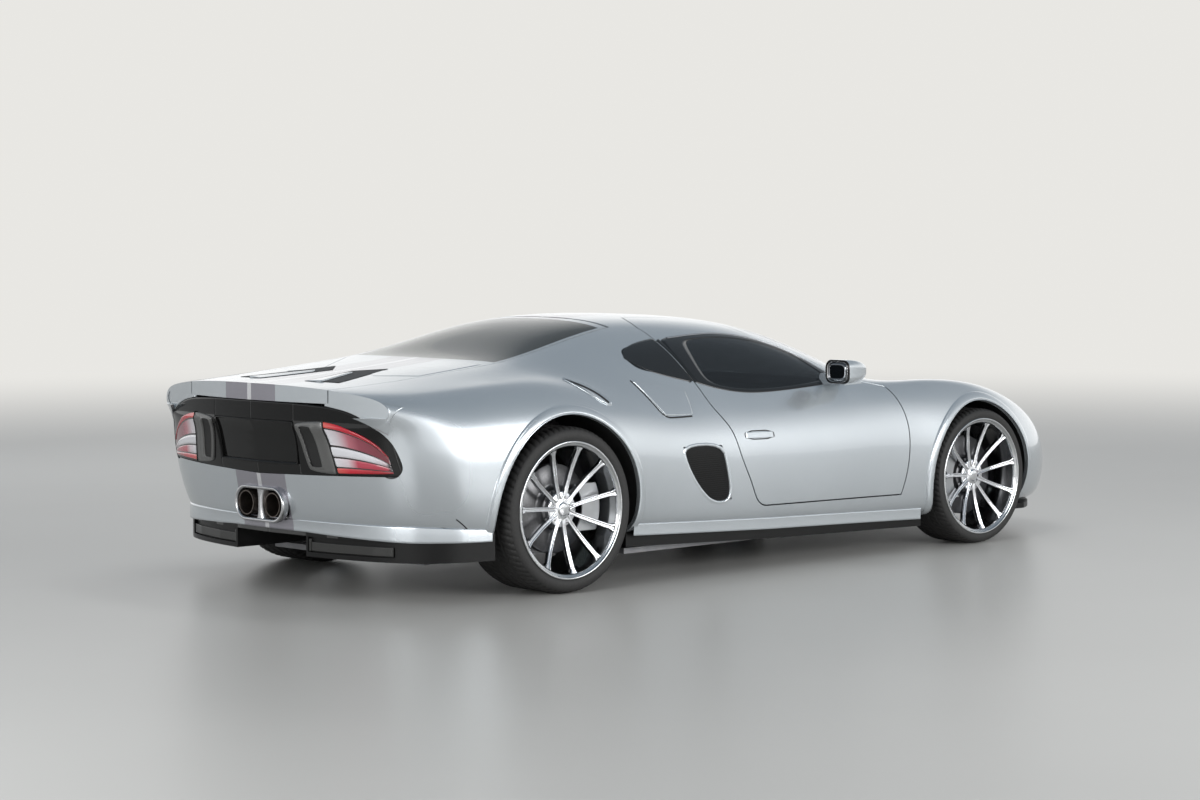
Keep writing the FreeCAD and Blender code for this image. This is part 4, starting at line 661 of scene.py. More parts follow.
brushed = trim("brushed_steel", (0.46, 0.46, 0.47), (0.62, 0.62, 0.63), 0.26, 160.0, 0.00003, 1.0, 0.0,
               (0.05, 1.0, 1.0))
pipe_steel = trim("pipe_steel", (0.10, 0.085, 0.075), (0.24, 0.21, 0.19), 0.38, 40.0, 0.00004, 1.0)
disc_iron = trim("disc_iron", (0.07, 0.07, 0.072), (0.14, 0.14, 0.145), 0.34, 120.0, 0.00003, 0.9)
caliper_grey = trim("caliper_grey", (0.33, 0.34, 0.35), (0.42, 0.43, 0.44), 0.32, 30.0, 0.00002, 0.6, 0.4)
chassis_black = trim("chassis_black", (0.015, 0.015, 0.015), (0.035, 0.034, 0.032), 0.55, 80.0, 0.0002)
floor_alloy = trim("floor_alloy", (0.20, 0.20, 0.21), (0.30, 0.30, 0.31), 0.45, 25.0, 0.0001, 0.8)
cast_metal = trim("cast_metal", (0.16, 0.16, 0.165), (0.26, 0.26, 0.27), 0.52, 350.0, 0.0003, 0.7)
leather = trim("leather_black", (0.012, 0.012, 0.012), (0.026, 0.025, 0.024), 0.48, 420.0, 0.0004)
smoked = trim("smoked_plastic", (0.012, 0.013, 0.012), (0.034, 0.033, 0.026), 0.12, 3.0, 0.0, 0.0, 0.2)
duct_grey = trim("duct_grey", (0.13, 0.13, 0.13), (0.19, 0.19, 0.185), 0.32, 300.0, 0.00003, 0.5)
# Near-black for mesh and floors, also used as painted shade in the gaps and slot on the flank.
mesh_black = trim("mesh_black", (0.006, 0.006, 0.006), (0.012, 0.012, 0.012), 0.55, 500.0, 0.0002)
rubber = trim("tyre_rubber", (0.012, 0.012, 0.012), (0.030, 0.029, 0.028), 0.68, 90.0, 0.0001)

# %% [markdown]
# ## Dress the panels
# Painted panels and glass get smooth copies. Everything else that keeps its CAD shape only gets
# its finish, by putting the material into the object's own slots.

# %% Panels and carried-over parts
bodies = frame["record"]["behaviour"]["bodies"]
body_of = {name: body for body, names in bodies.items() for name in names}
painted = ["rear_quarter_right", "rear_quarter_left", "front_fender_right", "front_fender_left",
           "front_bumper", "rear_bumper", "roof_frame", "door_right", "door_left", "bonnet",
           "engine_lid"]
skins = {name: smooth_copy(name, paint, body_of[name]) for name in painted}
for name, finish in (("windscreen", glass_front), ("rear_glass", glass_rear),
                     ("quarter_glass", glass_side), ("door_glass_right", glass_side),
                     ("door_glass_left", glass_side), ("headlamps", glass_lamp),
                     ("tail_panel", gloss_black), ("deck_vents", gloss_black)):
    skins[name] = smooth_copy(name, finish, body_of[name])


def dress(name, finish):
    """Puts a finish into every slot of a CAD node."""
    slots = nodes[name].material_slots
    if not slots:
        nodes[name].data.materials.append(finish)
    for slot in slots:
        slot.material = finish


carried = {
    "mirror_right": paint_plain, "mirror_left": paint_plain, "cabin_floor": floor_alloy,
    "firewall": floor_alloy, "rear_bulkhead": dark_plastic, "front_arch_liners": dark_plastic,
    "rear_arch_liners": dark_plastic, "side_skirts": satin_black, "front_splitter": satin_black,
    "rear_diffuser": satin_black, "front_grille": satin_black, "side_grilles": satin_black,
    "exhaust": pipe_steel, "exhaust_surround": brushed, "engine_block": cast_metal,
    "seat_right": leather, "seat_left": leather, "dashboard": dark_plastic,
    "steering_wheel": leather, "front_suspension": chassis_black, "rear_suspension": chassis_black,
    "knuckle_front_right": caliper_grey, "knuckle_front_left": caliper_grey,
    "knuckle_rear_right": caliper_grey, "knuckle_rear_left": caliper_grey, "tail_lamps": gloss_black,
}
for name, finish in carried.items():
    dress(name, finish)
print("smooth copies:", len(skins), "carried over:", len(carried))

# %% [markdown]
# ## Tyres
# A tyre is a profile turned about the axle. Its profile starts from a few corners, and cutting
# each corner at a quarter and three quarters of its sides, three times over, rounds it. On the
# tread the radius is a function of two parameters, the angle and the place across the tread:
# it drops in the long grooves and in the slanted cuts of the shoulders.

# %% Turned shapes
def rounded(points, times=3):
    """Cuts the corners of an open line, keeping its ends."""
    line = np.array(points, float)
    for _ in range(times):
        first = line[:-1] * 0.75 + line[1:] * 0.25
        second = line[:-1] * 0.25 + line[1:] * 0.75
        middle = np.stack([first, second], 1).reshape(-1, 2)
        line = np.concatenate([line[:1], middle[1:-1], line[-1:]])
    return line


def turned(profile, centre, segments, side, deepen=None):
    """Points of a profile (radius, distance out from the middle plane of the car) turned about a
    line along Y through the centre (x, z). Deepen may lower the radius by angle and place."""
    angle = np.linspace(0.0, 2 * np.pi, segments, endpoint=False)
    radius = np.repeat(profile[None, :, 0], segments, 0)
    out = np.repeat(profile[None, :, 1], segments, 0)
    if deepen is not None:
        radius = radius - deepen(angle[:, None], out)
    x = centre[0] + radius * np.sin(angle)[:, None]
    z = centre[1] + radius * np.cos(angle)[:, None]
    return np.stack([x, side * out, z], -1)


# The axle's X, the tyre's radius and width, the rim's radius, how far the wheel's face lies from the
# car's middle, and the radius of the wheel arch.
wheels = {
    "front": dict(x=front_axle_x, tyre=0.325, width=0.252, rim=0.2715, face=0.950, arch=0.366),
    "rear": dict(x=rear_axle_x, tyre=0.352, width=0.318, rim=0.284, face=0.970, arch=0.404),
}


def tread_cut(middle, half, pitches):
    """Depth of the tread's grooves: four long ones, and slanted cuts towards each shoulder."""
    def depth(angle, out):
        across = (out - middle) / half
        place = np.abs(across)
        long_groove = np.zeros_like(place * angle)
        for at in (0.16, 0.50):
            long_groove = np.maximum(long_groove, np.clip(1.5 - np.abs(place - at) / 0.026, 0, 1))
        turn = (angle * pitches / (2 * np.pi) + place * 1.7 * np.sign(across)) % 1.0
        cut = np.clip(1.4 - np.abs(turn - 0.5) / 0.13, 0, 1)
        shoulder = (place > 0.56) & (place < 0.93)
        inner = (place > 0.20) & (place < 0.44)
        return 0.0065 * np.maximum(long_groove, cut * shoulder) + 0.004 * cut * inner
    return depth


def tyre_part(spec, side):
    """The tyre's profile, over both walls and the tread, turned about the axle."""
    middle, half = spec["face"] - spec["width"] / 2, spec["width"] / 2
    low, high = spec["rim"], spec["tyre"]
    wall = [(0.0, 0.80), (0.03, 0.88), (0.10, 0.945), (0.25, 0.985), (0.45, 1.0), (0.66, 0.985),
            (0.80, 0.95), (0.92, 0.88), (0.985, 0.79), (1.0, 0.70)]
    edge = rounded([(low + (high - low) * r, w * half) for r, w in wall])
    tread = np.linspace(0.70, -0.70, 57)[1:-1] * half
    top = np.stack([np.full_like(tread, high), tread], 1)
    profile = np.concatenate([edge, top, edge[::-1] * (1.0, -1.0)])
    profile[:, 1] += middle
    points = turned(profile, (spec["x"], spec["tyre"]), 432, side, tread_cut(middle, half, 72))
    return grid_part(points, close_u=True)


for end, spec in wheels.items():
    for hand, side in (("right", -1), ("left", 1)):
        name = f"{end}_{hand}"
        tyre = make(f"tyre_{name}_tread", [tyre_part(spec, side)], rubber, f"{end}_wheel_{hand}",
                    outwards=True, stands_for=[f"tyre_{name}"])
print("tyre quads:", len(tyre.data.polygons))

# %% [markdown]
# ## Pieces that lie on the skin
# Trim, lamps and lips follow the bodywork exactly, so they are worked out on the same spline
# surface. An outline is drawn flat, from the side, from above or from behind. For every point of
# it we look for the two parameters at which the skin lies over that point. A coarse grid gives
# the first guess, and Newton's method then improves it: the slope of the surface tells how far
# each parameter has to move. The skin's normal there gives the direction in which a piece is
# lifted off the paint or sunk into it.

# %% Find the skin over a flat drawing
view_axes = {"side": (0, 2), "plan": (0, 1), "rear": (1, 2)}
seen_from = {
    "side": (guess_normal[:, 1] < -0.12) & (guess_point[:, 1] < -0.35),
    "plan": (guess_normal[:, 2] > 0.12) & (guess_point[:, 2] > 0.45),
    "rear": (guess_normal[:, 0] < -0.08) & (guess_point[:, 0] < -1.75),
}


# The lip's bow in plan has its middle at lip_x. The black band stays lip_room ahead of it, and the
# skin gives way to the bow from lip_fade_from up, over the height lip_fade.
lip_bow, lip_x, lip_room = 2.5, -2.2955, 0.0031
lip_fade_from, lip_fade = 0.700, 0.040
middle_room, miss_limit = 0.004, 0.004


def off_middle(flat):
    """The same places, kept a little off the car's middle, where the right half's spline ends."""
    return np.minimum(flat, (-middle_room, np.inf))


def on_skin(flat, view):
    """Points of the right half of the skin over flat points, with the outward normals there."""
    first, second = view_axes[view]
    target = off_middle(flat) if view == "rear" else np.asarray(flat)
    chosen = np.flatnonzero(seen_from[view])
    index = chosen[first_guess(target, guess_point[chosen][:, (first, second)], 0.15)]
    u, v = guess_u[index].copy(), guess_v[index].copy()
    for _ in range(7):
        here, du, dv = skin_slopes(u, v)
        miss = target - here[:, (first, second)]
        a, b, c, d = du[:, first], dv[:, first], du[:, second], dv[:, second]
        size = a * d - b * c
        size = np.where(np.abs(size) < 1e-9, 1e-9, size)
        u = moved(u, (miss[:, 0] * d - miss[:, 1] * b) / size, step_u)
        v = moved(v, (miss[:, 1] * a - miss[:, 0] * c) / size, step_v)
    here, du, dv = skin_slopes(u, v)
    normal = outward(du, dv, index)
    return under_lip(here, normal, np.asarray(flat)) if view == "rear" else (here, normal)


def under_lip(here, normal, target):
    """Just below the lip the tail follows the lip's bow in plan, where the skin would stand out
    behind it. A point that found no place elsewhere takes its neighbour's."""
    bow = lip_x + lip_bow - np.sqrt(lip_bow ** 2 - target[:, 0] ** 2) + lip_room
    lost = np.linalg.norm(here[:, 1:] - off_middle(target), axis=1) > miss_limit
    if lost.any() and not lost.all():
        gap = ((target[lost][:, None] - target[~lost][None]) ** 2).sum(2)
        closest = np.flatnonzero(~lost)[gap.argmin(1)]
        here[lost], normal[lost] = here[closest], normal[closest]
    lost &= target[:, 1] > lip_fade_from
    share = np.clip((target[:, 1] - lip_fade_from) / lip_fade, 0.0, 1.0)
    share = share * share * (3 - 2 * share)
    x = np.where(lost, bow, here[:, 0] + share * np.maximum(bow - here[:, 0], 0.0))
    swap = (lost | (x > here[:, 0] + 1e-5))[:, None]
    around = np.stack([-np.sqrt(lip_bow ** 2 - target[:, 0] ** 2), target[:, 0], 0 * x], 1) / lip_bow
    return np.column_stack([x, target]), np.where(swap, around, normal)


def evenly(line, count, closed=False):
    """A line sampled at equal distances. A closed one doesn't repeat its first point."""
    run = np.concatenate([[0.0], np.cumsum(np.linalg.norm(np.diff(line, axis=0), axis=1))])
    at = np.linspace(0.0, run[-1], count, endpoint=not closed)
    return np.stack([np.interp(at, run, line[:, k]) for k in range(2)], 1)


def spread(points, count, times=3):
    """An open line with its corners cut, sampled at equal distances."""
    line = rounded(points, times) if len(points) > 2 and times else np.array(points, float)
    return evenly(line, count)


def loop(points, count, times=3):
    """A closed outline with rounded corners, sampled at equal distances."""
    line = np.array(points, float)
    for _ in range(times):
        nxt = np.roll(line, -1, axis=0)
        line = np.stack([line * 0.75 + nxt * 0.25, line * 0.25 + nxt * 0.75], 1).reshape(-1, 2)
    return evenly(np.concatenate([line, line[:1]]), count, closed=True)


def faced(points, normals):
    """A grid part whose faces look along the given normals."""
    across = np.cross(points[1:, :-1] - points[:-1, :-1], points[:-1, 1:] - points[:-1, :-1])
    agree = (across * normals[:-1, :-1]).sum()
    return grid_part(points, flip=agree < 0)


def with_edges(points, normals, rise, sink):
    """Lifts a grid along its normals, and gives it an outermost row all round that drops to a sink."""
    points, normals = (np.pad(a, ((1, 1), (1, 1), (0, 0)), "edge") for a in (points, normals))
    rise = np.pad(rise, 1, constant_values=sink)
    return faced(points + normals * rise[..., None], normals)


def skin_sheet(low, high, view, columns, rows, lift, sink, relief=None, smooth=3):
    """A sheet between two flat lines, lifted off the skin, with edges that drop to a sink."""
    t = np.linspace(0.0, 1.0, rows)[None, :, None]
    flat = spread(low, columns, smooth)[:, None] * (1 - t) + spread(high, columns, smooth)[:, None] * t
    points, normals = (a.reshape(columns, rows, 3) for a in on_skin(flat.reshape(-1, 2), view))
    rise = np.full((columns, rows), lift)
    if relief is not None:
        rise = rise + relief(np.linspace(0, 1, columns)[:, None], np.linspace(0, 1, rows)[None, :])
    return with_edges(points, normals, rise, sink)


def skin_ring(outer, inner, view, count, steps, smooth=3):
    """A ring between two closed outlines. Each step is a share of the way in, and a lift."""
    a, b = loop(outer, count, smooth), loop(inner, count, smooth)
    flat = np.stack([a * (1 - t) + b * t for t, _ in steps], 1)
    points, normals = (p.reshape(count, len(steps), 3) for p in on_skin(flat.reshape(-1, 2), view))
    points = points + normals * np.array([lift for _, lift in steps])[None, :, None]
    side = np.roll(points, -1, 0) - points
    step = points[:, 1:] - points[:, :-1]
    agree = (np.cross(side[:, :-1], step) * normals[:, :-1]).sum()
    return grid_part(points, close_u=True, flip=agree < 0)


def skin_strip(line, view, width, count, lift, sink, smooth=3):
    """A narrow crowned band along a flat line."""
    path = spread(line, count, smooth)
    way = np.gradient(path, axis=0)
    way /= np.linalg.norm(way, axis=1)[:, None]
    across = np.stack([-way[:, 1], way[:, 0]], 1)
    places = np.array([-0.5, -0.5, -0.3, 0.0, 0.3, 0.5, 0.5]) * width
    rises = np.array([sink, 0.6 * lift, 0.9 * lift, lift, 0.9 * lift, 0.6 * lift, sink])
    flat = path[:, None] + across[:, None] * places[None, :, None]
    points, normals = (p.reshape(count, len(places), 3) for p in on_skin(flat.reshape(-1, 2), view))
    return faced(points + normals * rises[None, :, None], normals)


def ahead(pairs):
    """Flat points of a side view or plan, given from the rear axle, in the car's frame."""
    return [(rear_axle_x + along, second) for along, second in pairs]


def both(parts):
    """The parts with their mirror images on the car's other side."""
    return parts + [mirrored(part) for part in parts]


def on_doors(label, part, finish, outwards=False):
    """The same part on both doors, a piece for each, since each rides on its own door."""
    make(f"{label}_right", [part], finish, "right_door", outwards=outwards)
    make(f"{label}_left", [mirrored(part)], finish, "left_door", outwards=outwards)


def with_uv(piece, columns, rows):
    """Gives a padded sheet and its mirror image a UV map from its two parameters."""
    u = np.clip(np.arange(-1, columns + 1), 0, columns - 1) / (columns - 1)
    v = np.clip(np.arange(-1, rows + 1), 0, rows - 1) / (rows - 1)
    grid = np.stack(np.meshgrid(u, v, indexing="ij"), -1).reshape(-1, 2)
    corner = values_of(piece.data.loops, "vertex_index", 1, np.int32)
    layer = piece.data.uv_layers.new(name="UVMap")
    layer.data.foreach_set("uv", grid[corner % len(grid)].astype(np.float32).ravel())


print("guess points:", len(guess_point))

# %% [markdown]
# ## The tail panel
# Below the lip of the tail lies a gloss-black band that runs from side to side and narrows to
# a rounded corner. The band lies nearly flush with the paint. The plate recess is sunk into it:
# its floor lies deeper, and the band's own edges drop to it as its walls. We draw everything from
# behind, in metres along Y and up, for the car's right side, and lay it on the skin.

# %% Band, recess and ducts
fascia_low = [(0.0, 0.506), (-0.300, 0.513), (-0.500, 0.521), (-0.713, 0.527), (-0.770, 0.529)]
fascia_high = [(0.0, 0.818), (-0.300, 0.816), (-0.470, 0.808), (-0.560, 0.793), (-0.640, 0.765),
               (-0.705, 0.727), (-0.760, 0.665)]
recess_low = [(0.0, 0.560), (-0.268, 0.562)]
recess_high = [(0.0, 0.737), (-0.275, 0.737)]
recess_side, outside_from = -0.2725, -0.2715
flush, recess_floor, wall_foot = -0.0015, -0.030, -0.034


def flat_at(line, y):
    """Height of a flat line over a place along Y."""
    line = np.array(line)[::-1]
    return np.interp(y, line[:, 0], line[:, 1])


def band_parts():
    """The band round the recess: a strip above it, one below it, a sheet outside it and its end."""
    y = np.linspace(0.0, recess_side, 60)
    lines = (fascia_low, recess_low, recess_high, fascia_high)
    edges = [np.stack([y, flat_at(line, y)], 1) for line in lines]
    below = skin_sheet(edges[0], edges[1], "rear", 60, 10, flush, wall_foot, smooth=0)
    above = skin_sheet(edges[2], edges[3], "rear", 60, 14, flush, wall_foot, smooth=0)
    low = [(outside_from, 0.5125)] + fascia_low[2:] + [(-0.785, 0.535)]
    high = [(outside_from, 0.816)] + fascia_high[1:]
    outside = skin_sheet(low, high, "rear", 70, 40, flush, wall_foot)
    end_outer = [(-0.783, 0.533), (-0.792, 0.560), (-0.786, 0.610), (-0.760, 0.665)]
    end_inner = [(-0.755, 0.532), (-0.755, 0.560), (-0.752, 0.610), (-0.745, 0.665)]
    end = skin_sheet(end_outer, end_inner, "rear", 24, 10, flush - 0.0002, wall_foot)
    return [above, below, outside, end]


make("tail_band", both(band_parts()), gloss_black, "bodyshell", stands_for=["tail_panel", "tail_lamps"])
recess = skin_sheet(recess_low, recess_high, "rear", 50, 30, recess_floor, wall_foot, smooth=0)
make("plate_recess", both([recess]), smoked, "bodyshell")
lip = skin_strip([(0.0, 0.737), (-0.270, 0.737), (-0.276, 0.730), (-0.266, 0.562), (-0.258, 0.558),
                  (0.0, 0.556)], "rear", 0.005, 120, 0.003, -0.006, 1)
make("recess_lip", both([lip]), satin_black, "bodyshell")
lens_box = skin_sheet([(0.013, 0.563), (-0.013, 0.563)], [(0.013, 0.584), (-0.013, 0.584)], "rear", 8, 8,
                      -0.018, wall_foot, lambda u, v: -0.004 * ((2 * u - 1) ** 4 + (2 * v - 1) ** 4), 0)
make("reversing_lens", [lens_box], gloss_black, "bodyshell")

# %% [markdown]
# Between the outer end of the band and the lip's lower edge lies a narrow field of paint. It fades
# out of the lip, which is bowed in plan, into the quarter panel.

# %% Field between the band and the lip
field = skin_sheet([(-0.455, 0.8105), (-0.560, 0.795), (-0.640, 0.767), (-0.705, 0.729), (-0.750, 0.700)],
                   [(-0.455, 0.823), (-0.560, 0.823), (-0.660, 0.826), (-0.735, 0.836), (-0.800, 0.815)],
                   "rear", 80, 24, 0.0006, -0.012)
make("lip_fields", both([field]), paint_plain, "bodyshell")

# %% [markdown]
# Beside each lamp a grey frame stands a little proud round a dark slot, which lets hot air out.
# The frame is a ring between two outlines, broad on the side of the lamp, with a low rim round the
# slot. The slot's floor is a dark sheet behind it.

# %% Duct frames
duct_hole = [(-0.318, 0.722), (-0.372, 0.722), (-0.380, 0.712), (-0.412, 0.560), (-0.402, 0.553),
             (-0.356, 0.553), (-0.345, 0.562), (-0.310, 0.712)]
duct_rim = [(-0.296, 0.736), (-0.436, 0.748), (-0.444, 0.740), (-0.486, 0.534), (-0.476, 0.527),
            (-0.350, 0.536), (-0.330, 0.550), (-0.288, 0.724)]
frame_steps = [(0.0, -0.004), (0.01, 0.004), (0.06, 0.006), (0.5, 0.005), (0.86, 0.005), (0.94, 0.0065),
               (1.0, 0.004), (1.0, -0.028)]
frame_part = skin_ring(duct_rim, duct_hole, "rear", 160, frame_steps, 2)
make("duct_frames", both([frame_part]), duct_grey, "bodyshell")
floor_part = skin_sheet([(-0.300, 0.728), (-0.352, 0.545)], [(-0.386, 0.728), (-0.418, 0.545)], "rear",
                        24, 12, 0.0006, -0.002, smooth=0)
make("duct_floors", both([floor_part]), mesh_black, "bodyshell")

# %% [markdown]
# ## Tail lamps
# A lamp is one lens with several colours behind it: a red line along its top edge, a pale upper
# field that turns red outwards, a white bar, a red bar and a red line at the bottom. The colours
# follow the lens's own UV map, with V running from the bottom edge to the top. The bars are also
# modelled in relief, which gives each of them its own highlight.

# %% Lamp material and lenses
def lamp_material():
    """Bands of colour by the height in the UV map, each with its own tones across."""
    material = new_material("tail_lamp", Roughness=0.10, Coat_Weight=1.0, Coat_Roughness=0.02)
    place = node(material, "ShaderNodeTexCoord")
    split = node(material, "ShaderNodeSeparateXYZ")
    wire(material, place.outputs["UV"], split.inputs[0])
    across, height = split.outputs["X"], split.outputs["Y"]

    def ramp(source, steps):
        """A colour that runs with a socket through steps of position and tone."""
        made = node(material, "ShaderNodeValToRGB")
        points = made.color_ramp.elements
        while len(points) > 1:
            points.remove(points[-1])
        points[0].position, points[0].color = steps[0][0], steps[0][1] + (1.0,)
        for position, colour in steps[1:]:
            points.new(position).color = colour + (1.0,)
        wire(material, source, made.inputs[0])
        return made.outputs[0]

    white, pale, dark = (0.80, 0.80, 0.84), (0.55, 0.45, 0.48), (0.03, 0.02, 0.022)
    red, deep_red = (0.62, 0.01, 0.03), (0.30, 0.004, 0.012)
    field = ramp(across, [(0.0, white), (0.16, (0.70, 0.62, 0.66)), (0.34, (0.52, 0.16, 0.20)),
                          (0.50, (0.30, 0.06, 0.09)), (1.0, (0.16, 0.02, 0.03))])
    bar = ramp(across, [(0.0, white), (0.7, white), (0.93, pale), (0.97, dark)])
    low_bar = ramp(across, [(0.0, white), (0.25, (0.74, 0.62, 0.66)), (0.42, (0.55, 0.06, 0.10)),
                            (0.93, (0.50, 0.05, 0.08)), (0.98, dark)])
    edge = ramp(across, [(0.0, (0.70, 0.10, 0.08)), (0.25, red), (1.0, deep_red)])
    bands = [(0.105, edge), (0.135, dark), (0.30, low_bar), (0.335, dark), (0.52, bar), (0.56, dark),
             (0.865, field), (0.895, dark)]
    colour = edge
    for top, band_colour in reversed(bands):
        below = math_node(material, "LESS_THAN", height, top)
        colour = mix_colours(material, below, colour, band_colour)
    wire(material, colour, shader_of(material).inputs["Base Color"])
    stripes = math_node(material, "SINE", math_node(material, "MULTIPLY", across, 260.0))
    bump(material, stripes, 0.0002, 0.25)
    return material


def lamp_relief(u, v):
    """The bars and the two red lines stand proud of the fields between them: each rises from its two
    edges by one minus the fourth power of the distance from its middle."""
    proud = np.zeros_like(u * v)
    for low, high, rise in ((0.0, 0.105, 0.003), (0.135, 0.30, 0.002), (0.335, 0.52, 0.004),
                            (0.895, 1.0, 0.003)):
        middle, half = (low + high) / 2, (high - low) / 2
        proud = np.maximum(proud, rise * np.clip(1.0 - ((v - middle) / half) ** 4, 0.0, 1.0))
    return proud


lamp_low = [(-0.492, 0.532), (-0.600, 0.535), (-0.725, 0.539), (-0.752, 0.542)]
lamp_high = [(-0.446, 0.744), (-0.510, 0.737), (-0.570, 0.721), (-0.640, 0.693), (-0.700, 0.655),
             (-0.738, 0.610)]
lens_columns, lens_rows = 90, 80
lens = skin_sheet(lamp_low, lamp_high, "rear", lens_columns, lens_rows, 0.001, -0.006, lamp_relief)
lamps = make("tail_lamp_lenses", both([lens]), lamp_material(), "bodyshell")
with_uv(lamps, lens_columns, lens_rows)
gap_line = skin_strip([(-0.443, 0.748), (-0.490, 0.529)], "rear", 0.007, 40, 0.0075, -0.004, 0)
make("lamp_edges", both([gap_line]), satin_black, "bodyshell")
print("tail pieces done")

# %% [markdown]
# ## Exhaust surround
# The two tailpipes leave through one oval bezel of polished metal. It is a ring with a rolled
# edge, and a bright web joins its top and bottom between the pipes, in line with the white line
# of the paint. Each pipe has its own rolled end.

# %% Bezel and pipe ends
pipe_y, pipe_z, bezel_x, bezel_half_flat = 0.091, 0.377, -2.252, 0.094


def oval(half_flat, radius, count):
    """An oval of two half circles joined by straight lines, as an angle's function."""
    angle = np.linspace(0.0, 2 * np.pi, count, endpoint=False)
    y = radius * np.cos(angle) + half_flat * np.clip(np.cos(angle) * 40, -1, 1)
    return np.stack([y, radius * np.sin(angle)], 1)


def bezel_part():
    """Ovals of changing radius, each at its own distance ahead of the bezel's face."""
    steps = [(0.074, 0.030), (0.0755, 0.004), (0.074, -0.001), (0.070, -0.003), (0.064, -0.001),
             (0.061, 0.004), (0.059, 0.030), (0.058, 0.060)]
    rings = [np.insert(oval(bezel_half_flat, radius, 180) + (0.0, pipe_z), 0, bezel_x + back, axis=1)
             for radius, back in steps]
    return grid_part(np.stack(rings, 1), close_u=True)


def pipe_part(y):
    """Circles of changing radius: the pipe's outside, its rolled end, its bore and a dark end wall."""
    steps = [(0.052, 0.10), (0.052, 0.004), (0.051, 0.0), (0.0485, 0.0), (0.0475, 0.004), (0.0465, 0.10),
             (0.040, 0.16), (0.001, 0.161)]
    angle = np.linspace(0.0, 2 * np.pi, 96, endpoint=False)
    rings = [np.stack([np.full(96, bezel_x + 0.004 + back), y + radius * np.cos(angle),
                       pipe_z + radius * np.sin(angle)], 1) for radius, back in steps]
    return grid_part(np.stack(rings, 1), close_u=True)


def web_part():
    """A bright column between the pipes, wider at its ends."""
    t = np.linspace(-1.0, 1.0, 40)[:, None]
    half = 0.016 + 0.014 * np.abs(t) ** 3
    across = np.array([-1.0, -0.9, -0.5, 0.0, 0.5, 0.9, 1.0])[None, :]
    back = np.array([0.05, 0.010, 0.004, 0.001, 0.004, 0.010, 0.05])[None, :] + 0 * t
    points = np.stack([bezel_x + back, half * across, pipe_z + 0.062 * t + 0 * across], -1)
    return grid_part(points)


make("exhaust_bezel", [bezel_part(), web_part()], brushed, "bodyshell", outwards=True,
     stands_for=["exhaust_surround"])
make("tailpipe_ends", [pipe_part(-pipe_y), pipe_part(pipe_y)], pipe_steel, "bodyshell", outwards=True)
print("exhaust done")

# %% [markdown]
# ## Wheels
# Each wheel has eleven slim spokes of polished alloy. A spoke is lofted outwards from the hub:
# its section is a bar with bevelled edges and a groove milled along its face, and it flares
# where it meets the hub and the rim. The dish comes from letting the spoke's face move outwards
# along the axle as it nears the rim. The rim, the hub and the brake disc are turned from stepped
# profiles, and five nuts sit in sunk cups round the middle.

# %% Spokes, rims, hubs and discs
spoke_count = 11
spoke_phase = 0.37 / spoke_count * 2 * np.pi
hub_depth, disc_radius = 0.058, 0.190
lug_count, lug_circle = 5, 0.057


def spoke_sections(spec, count=48):
    """Radius, half width, face and back of a spoke at places from the hub to the rim."""
    t = np.linspace(0.0, 1.0, count)
    radius = 0.040 + (spec["rim"] - 0.016 - 0.040) * t
    foot_flare, rim_flare = np.clip(1 - t / 0.16, 0, 1) ** 2, np.clip((t - 0.90) / 0.10, 0, 1) ** 2
    half = 0.0088 + 0.0016 * t + 0.0075 * foot_flare + 0.0085 * rim_flare
    face = spec["face"] - hub_depth + (hub_depth - 0.010) * (0.25 * t + 0.75 * t ** 2.2)
    back = face - (0.030 - 0.010 * t)
    return radius, half, face, back


def spoke_parts(spec, side):
    """One section across the spoke, as shares of its half width and of its thickness, carried from
    the hub to the rim and then turned about the axle once for each spoke."""
    radius, half, face, back = spoke_sections(spec)
    share = np.array([-0.80, -1.0, -1.0, -0.86, -0.46, -0.34, 0.0, 0.34, 0.46, 0.86, 1.0, 1.0, 0.80])
    sunk = np.array([1.0, 0.9, 0.10, 0.0, 0.0, 0.12, 0.15, 0.12, 0.0, 0.0, 0.10, 0.9, 1.0])
    along = half[:, None] * share[None, :]
    out = face[:, None] - (face - back)[:, None] * sunk[None, :]
    rise = np.repeat(radius[:, None], len(share), 1)
    turn = spoke_phase + np.arange(spoke_count) * 2 * np.pi / spoke_count
    x = rise[None] * np.sin(turn)[:, None, None] + along[None] * np.cos(turn)[:, None, None]
    z = rise[None] * np.cos(turn)[:, None, None] - along[None] * np.sin(turn)[:, None, None]
    y = np.broadcast_to(side * out[None], x.shape)
    points = np.stack([x + spec["x"], y, z + spec["tyre"]], -1)
    return [grid_part(one, close_v=True) for one in points]


def lathe(steps, spec, side, segments=220):
    """A profile of (radius, distance in from the wheel's face) turned about the axle."""
    profile = np.array([(radius, spec["face"] - inward) for radius, inward in steps])
    return grid_part(turned(profile, (spec["x"], spec["tyre"]), segments, side), close_u=True)


def rim_part(spec, side):
    """The rim's profile: its outer lip, its barrel and its inner lip."""
    rim, deep = spec["rim"], spec["width"] - 0.030
    steps = [(rim + 0.009, 0.016), (rim + 0.0095, 0.006), (rim + 0.008, 0.0015), (rim + 0.004, 0.0),
             (rim + 0.0, 0.0015), (rim - 0.002, 0.006), (rim - 0.004, 0.008), (rim - 0.010, 0.009),
             (rim - 0.0125, 0.012), (rim - 0.0135, 0.026), (rim - 0.016, 0.040), (rim - 0.019, 0.060),
             (rim - 0.022, 0.11), (rim - 0.020, deep - 0.02), (rim - 0.010, deep - 0.004),
             (rim - 0.008, deep), (rim + 0.004, deep), (rim + 0.006, deep - 0.012),
             (rim - 0.004, deep - 0.03),
             (rim - 0.014, 0.12), (rim - 0.010, 0.05), (rim + 0.0, 0.022), (rim + 0.009, 0.016)]
    return lathe(steps, spec, side)


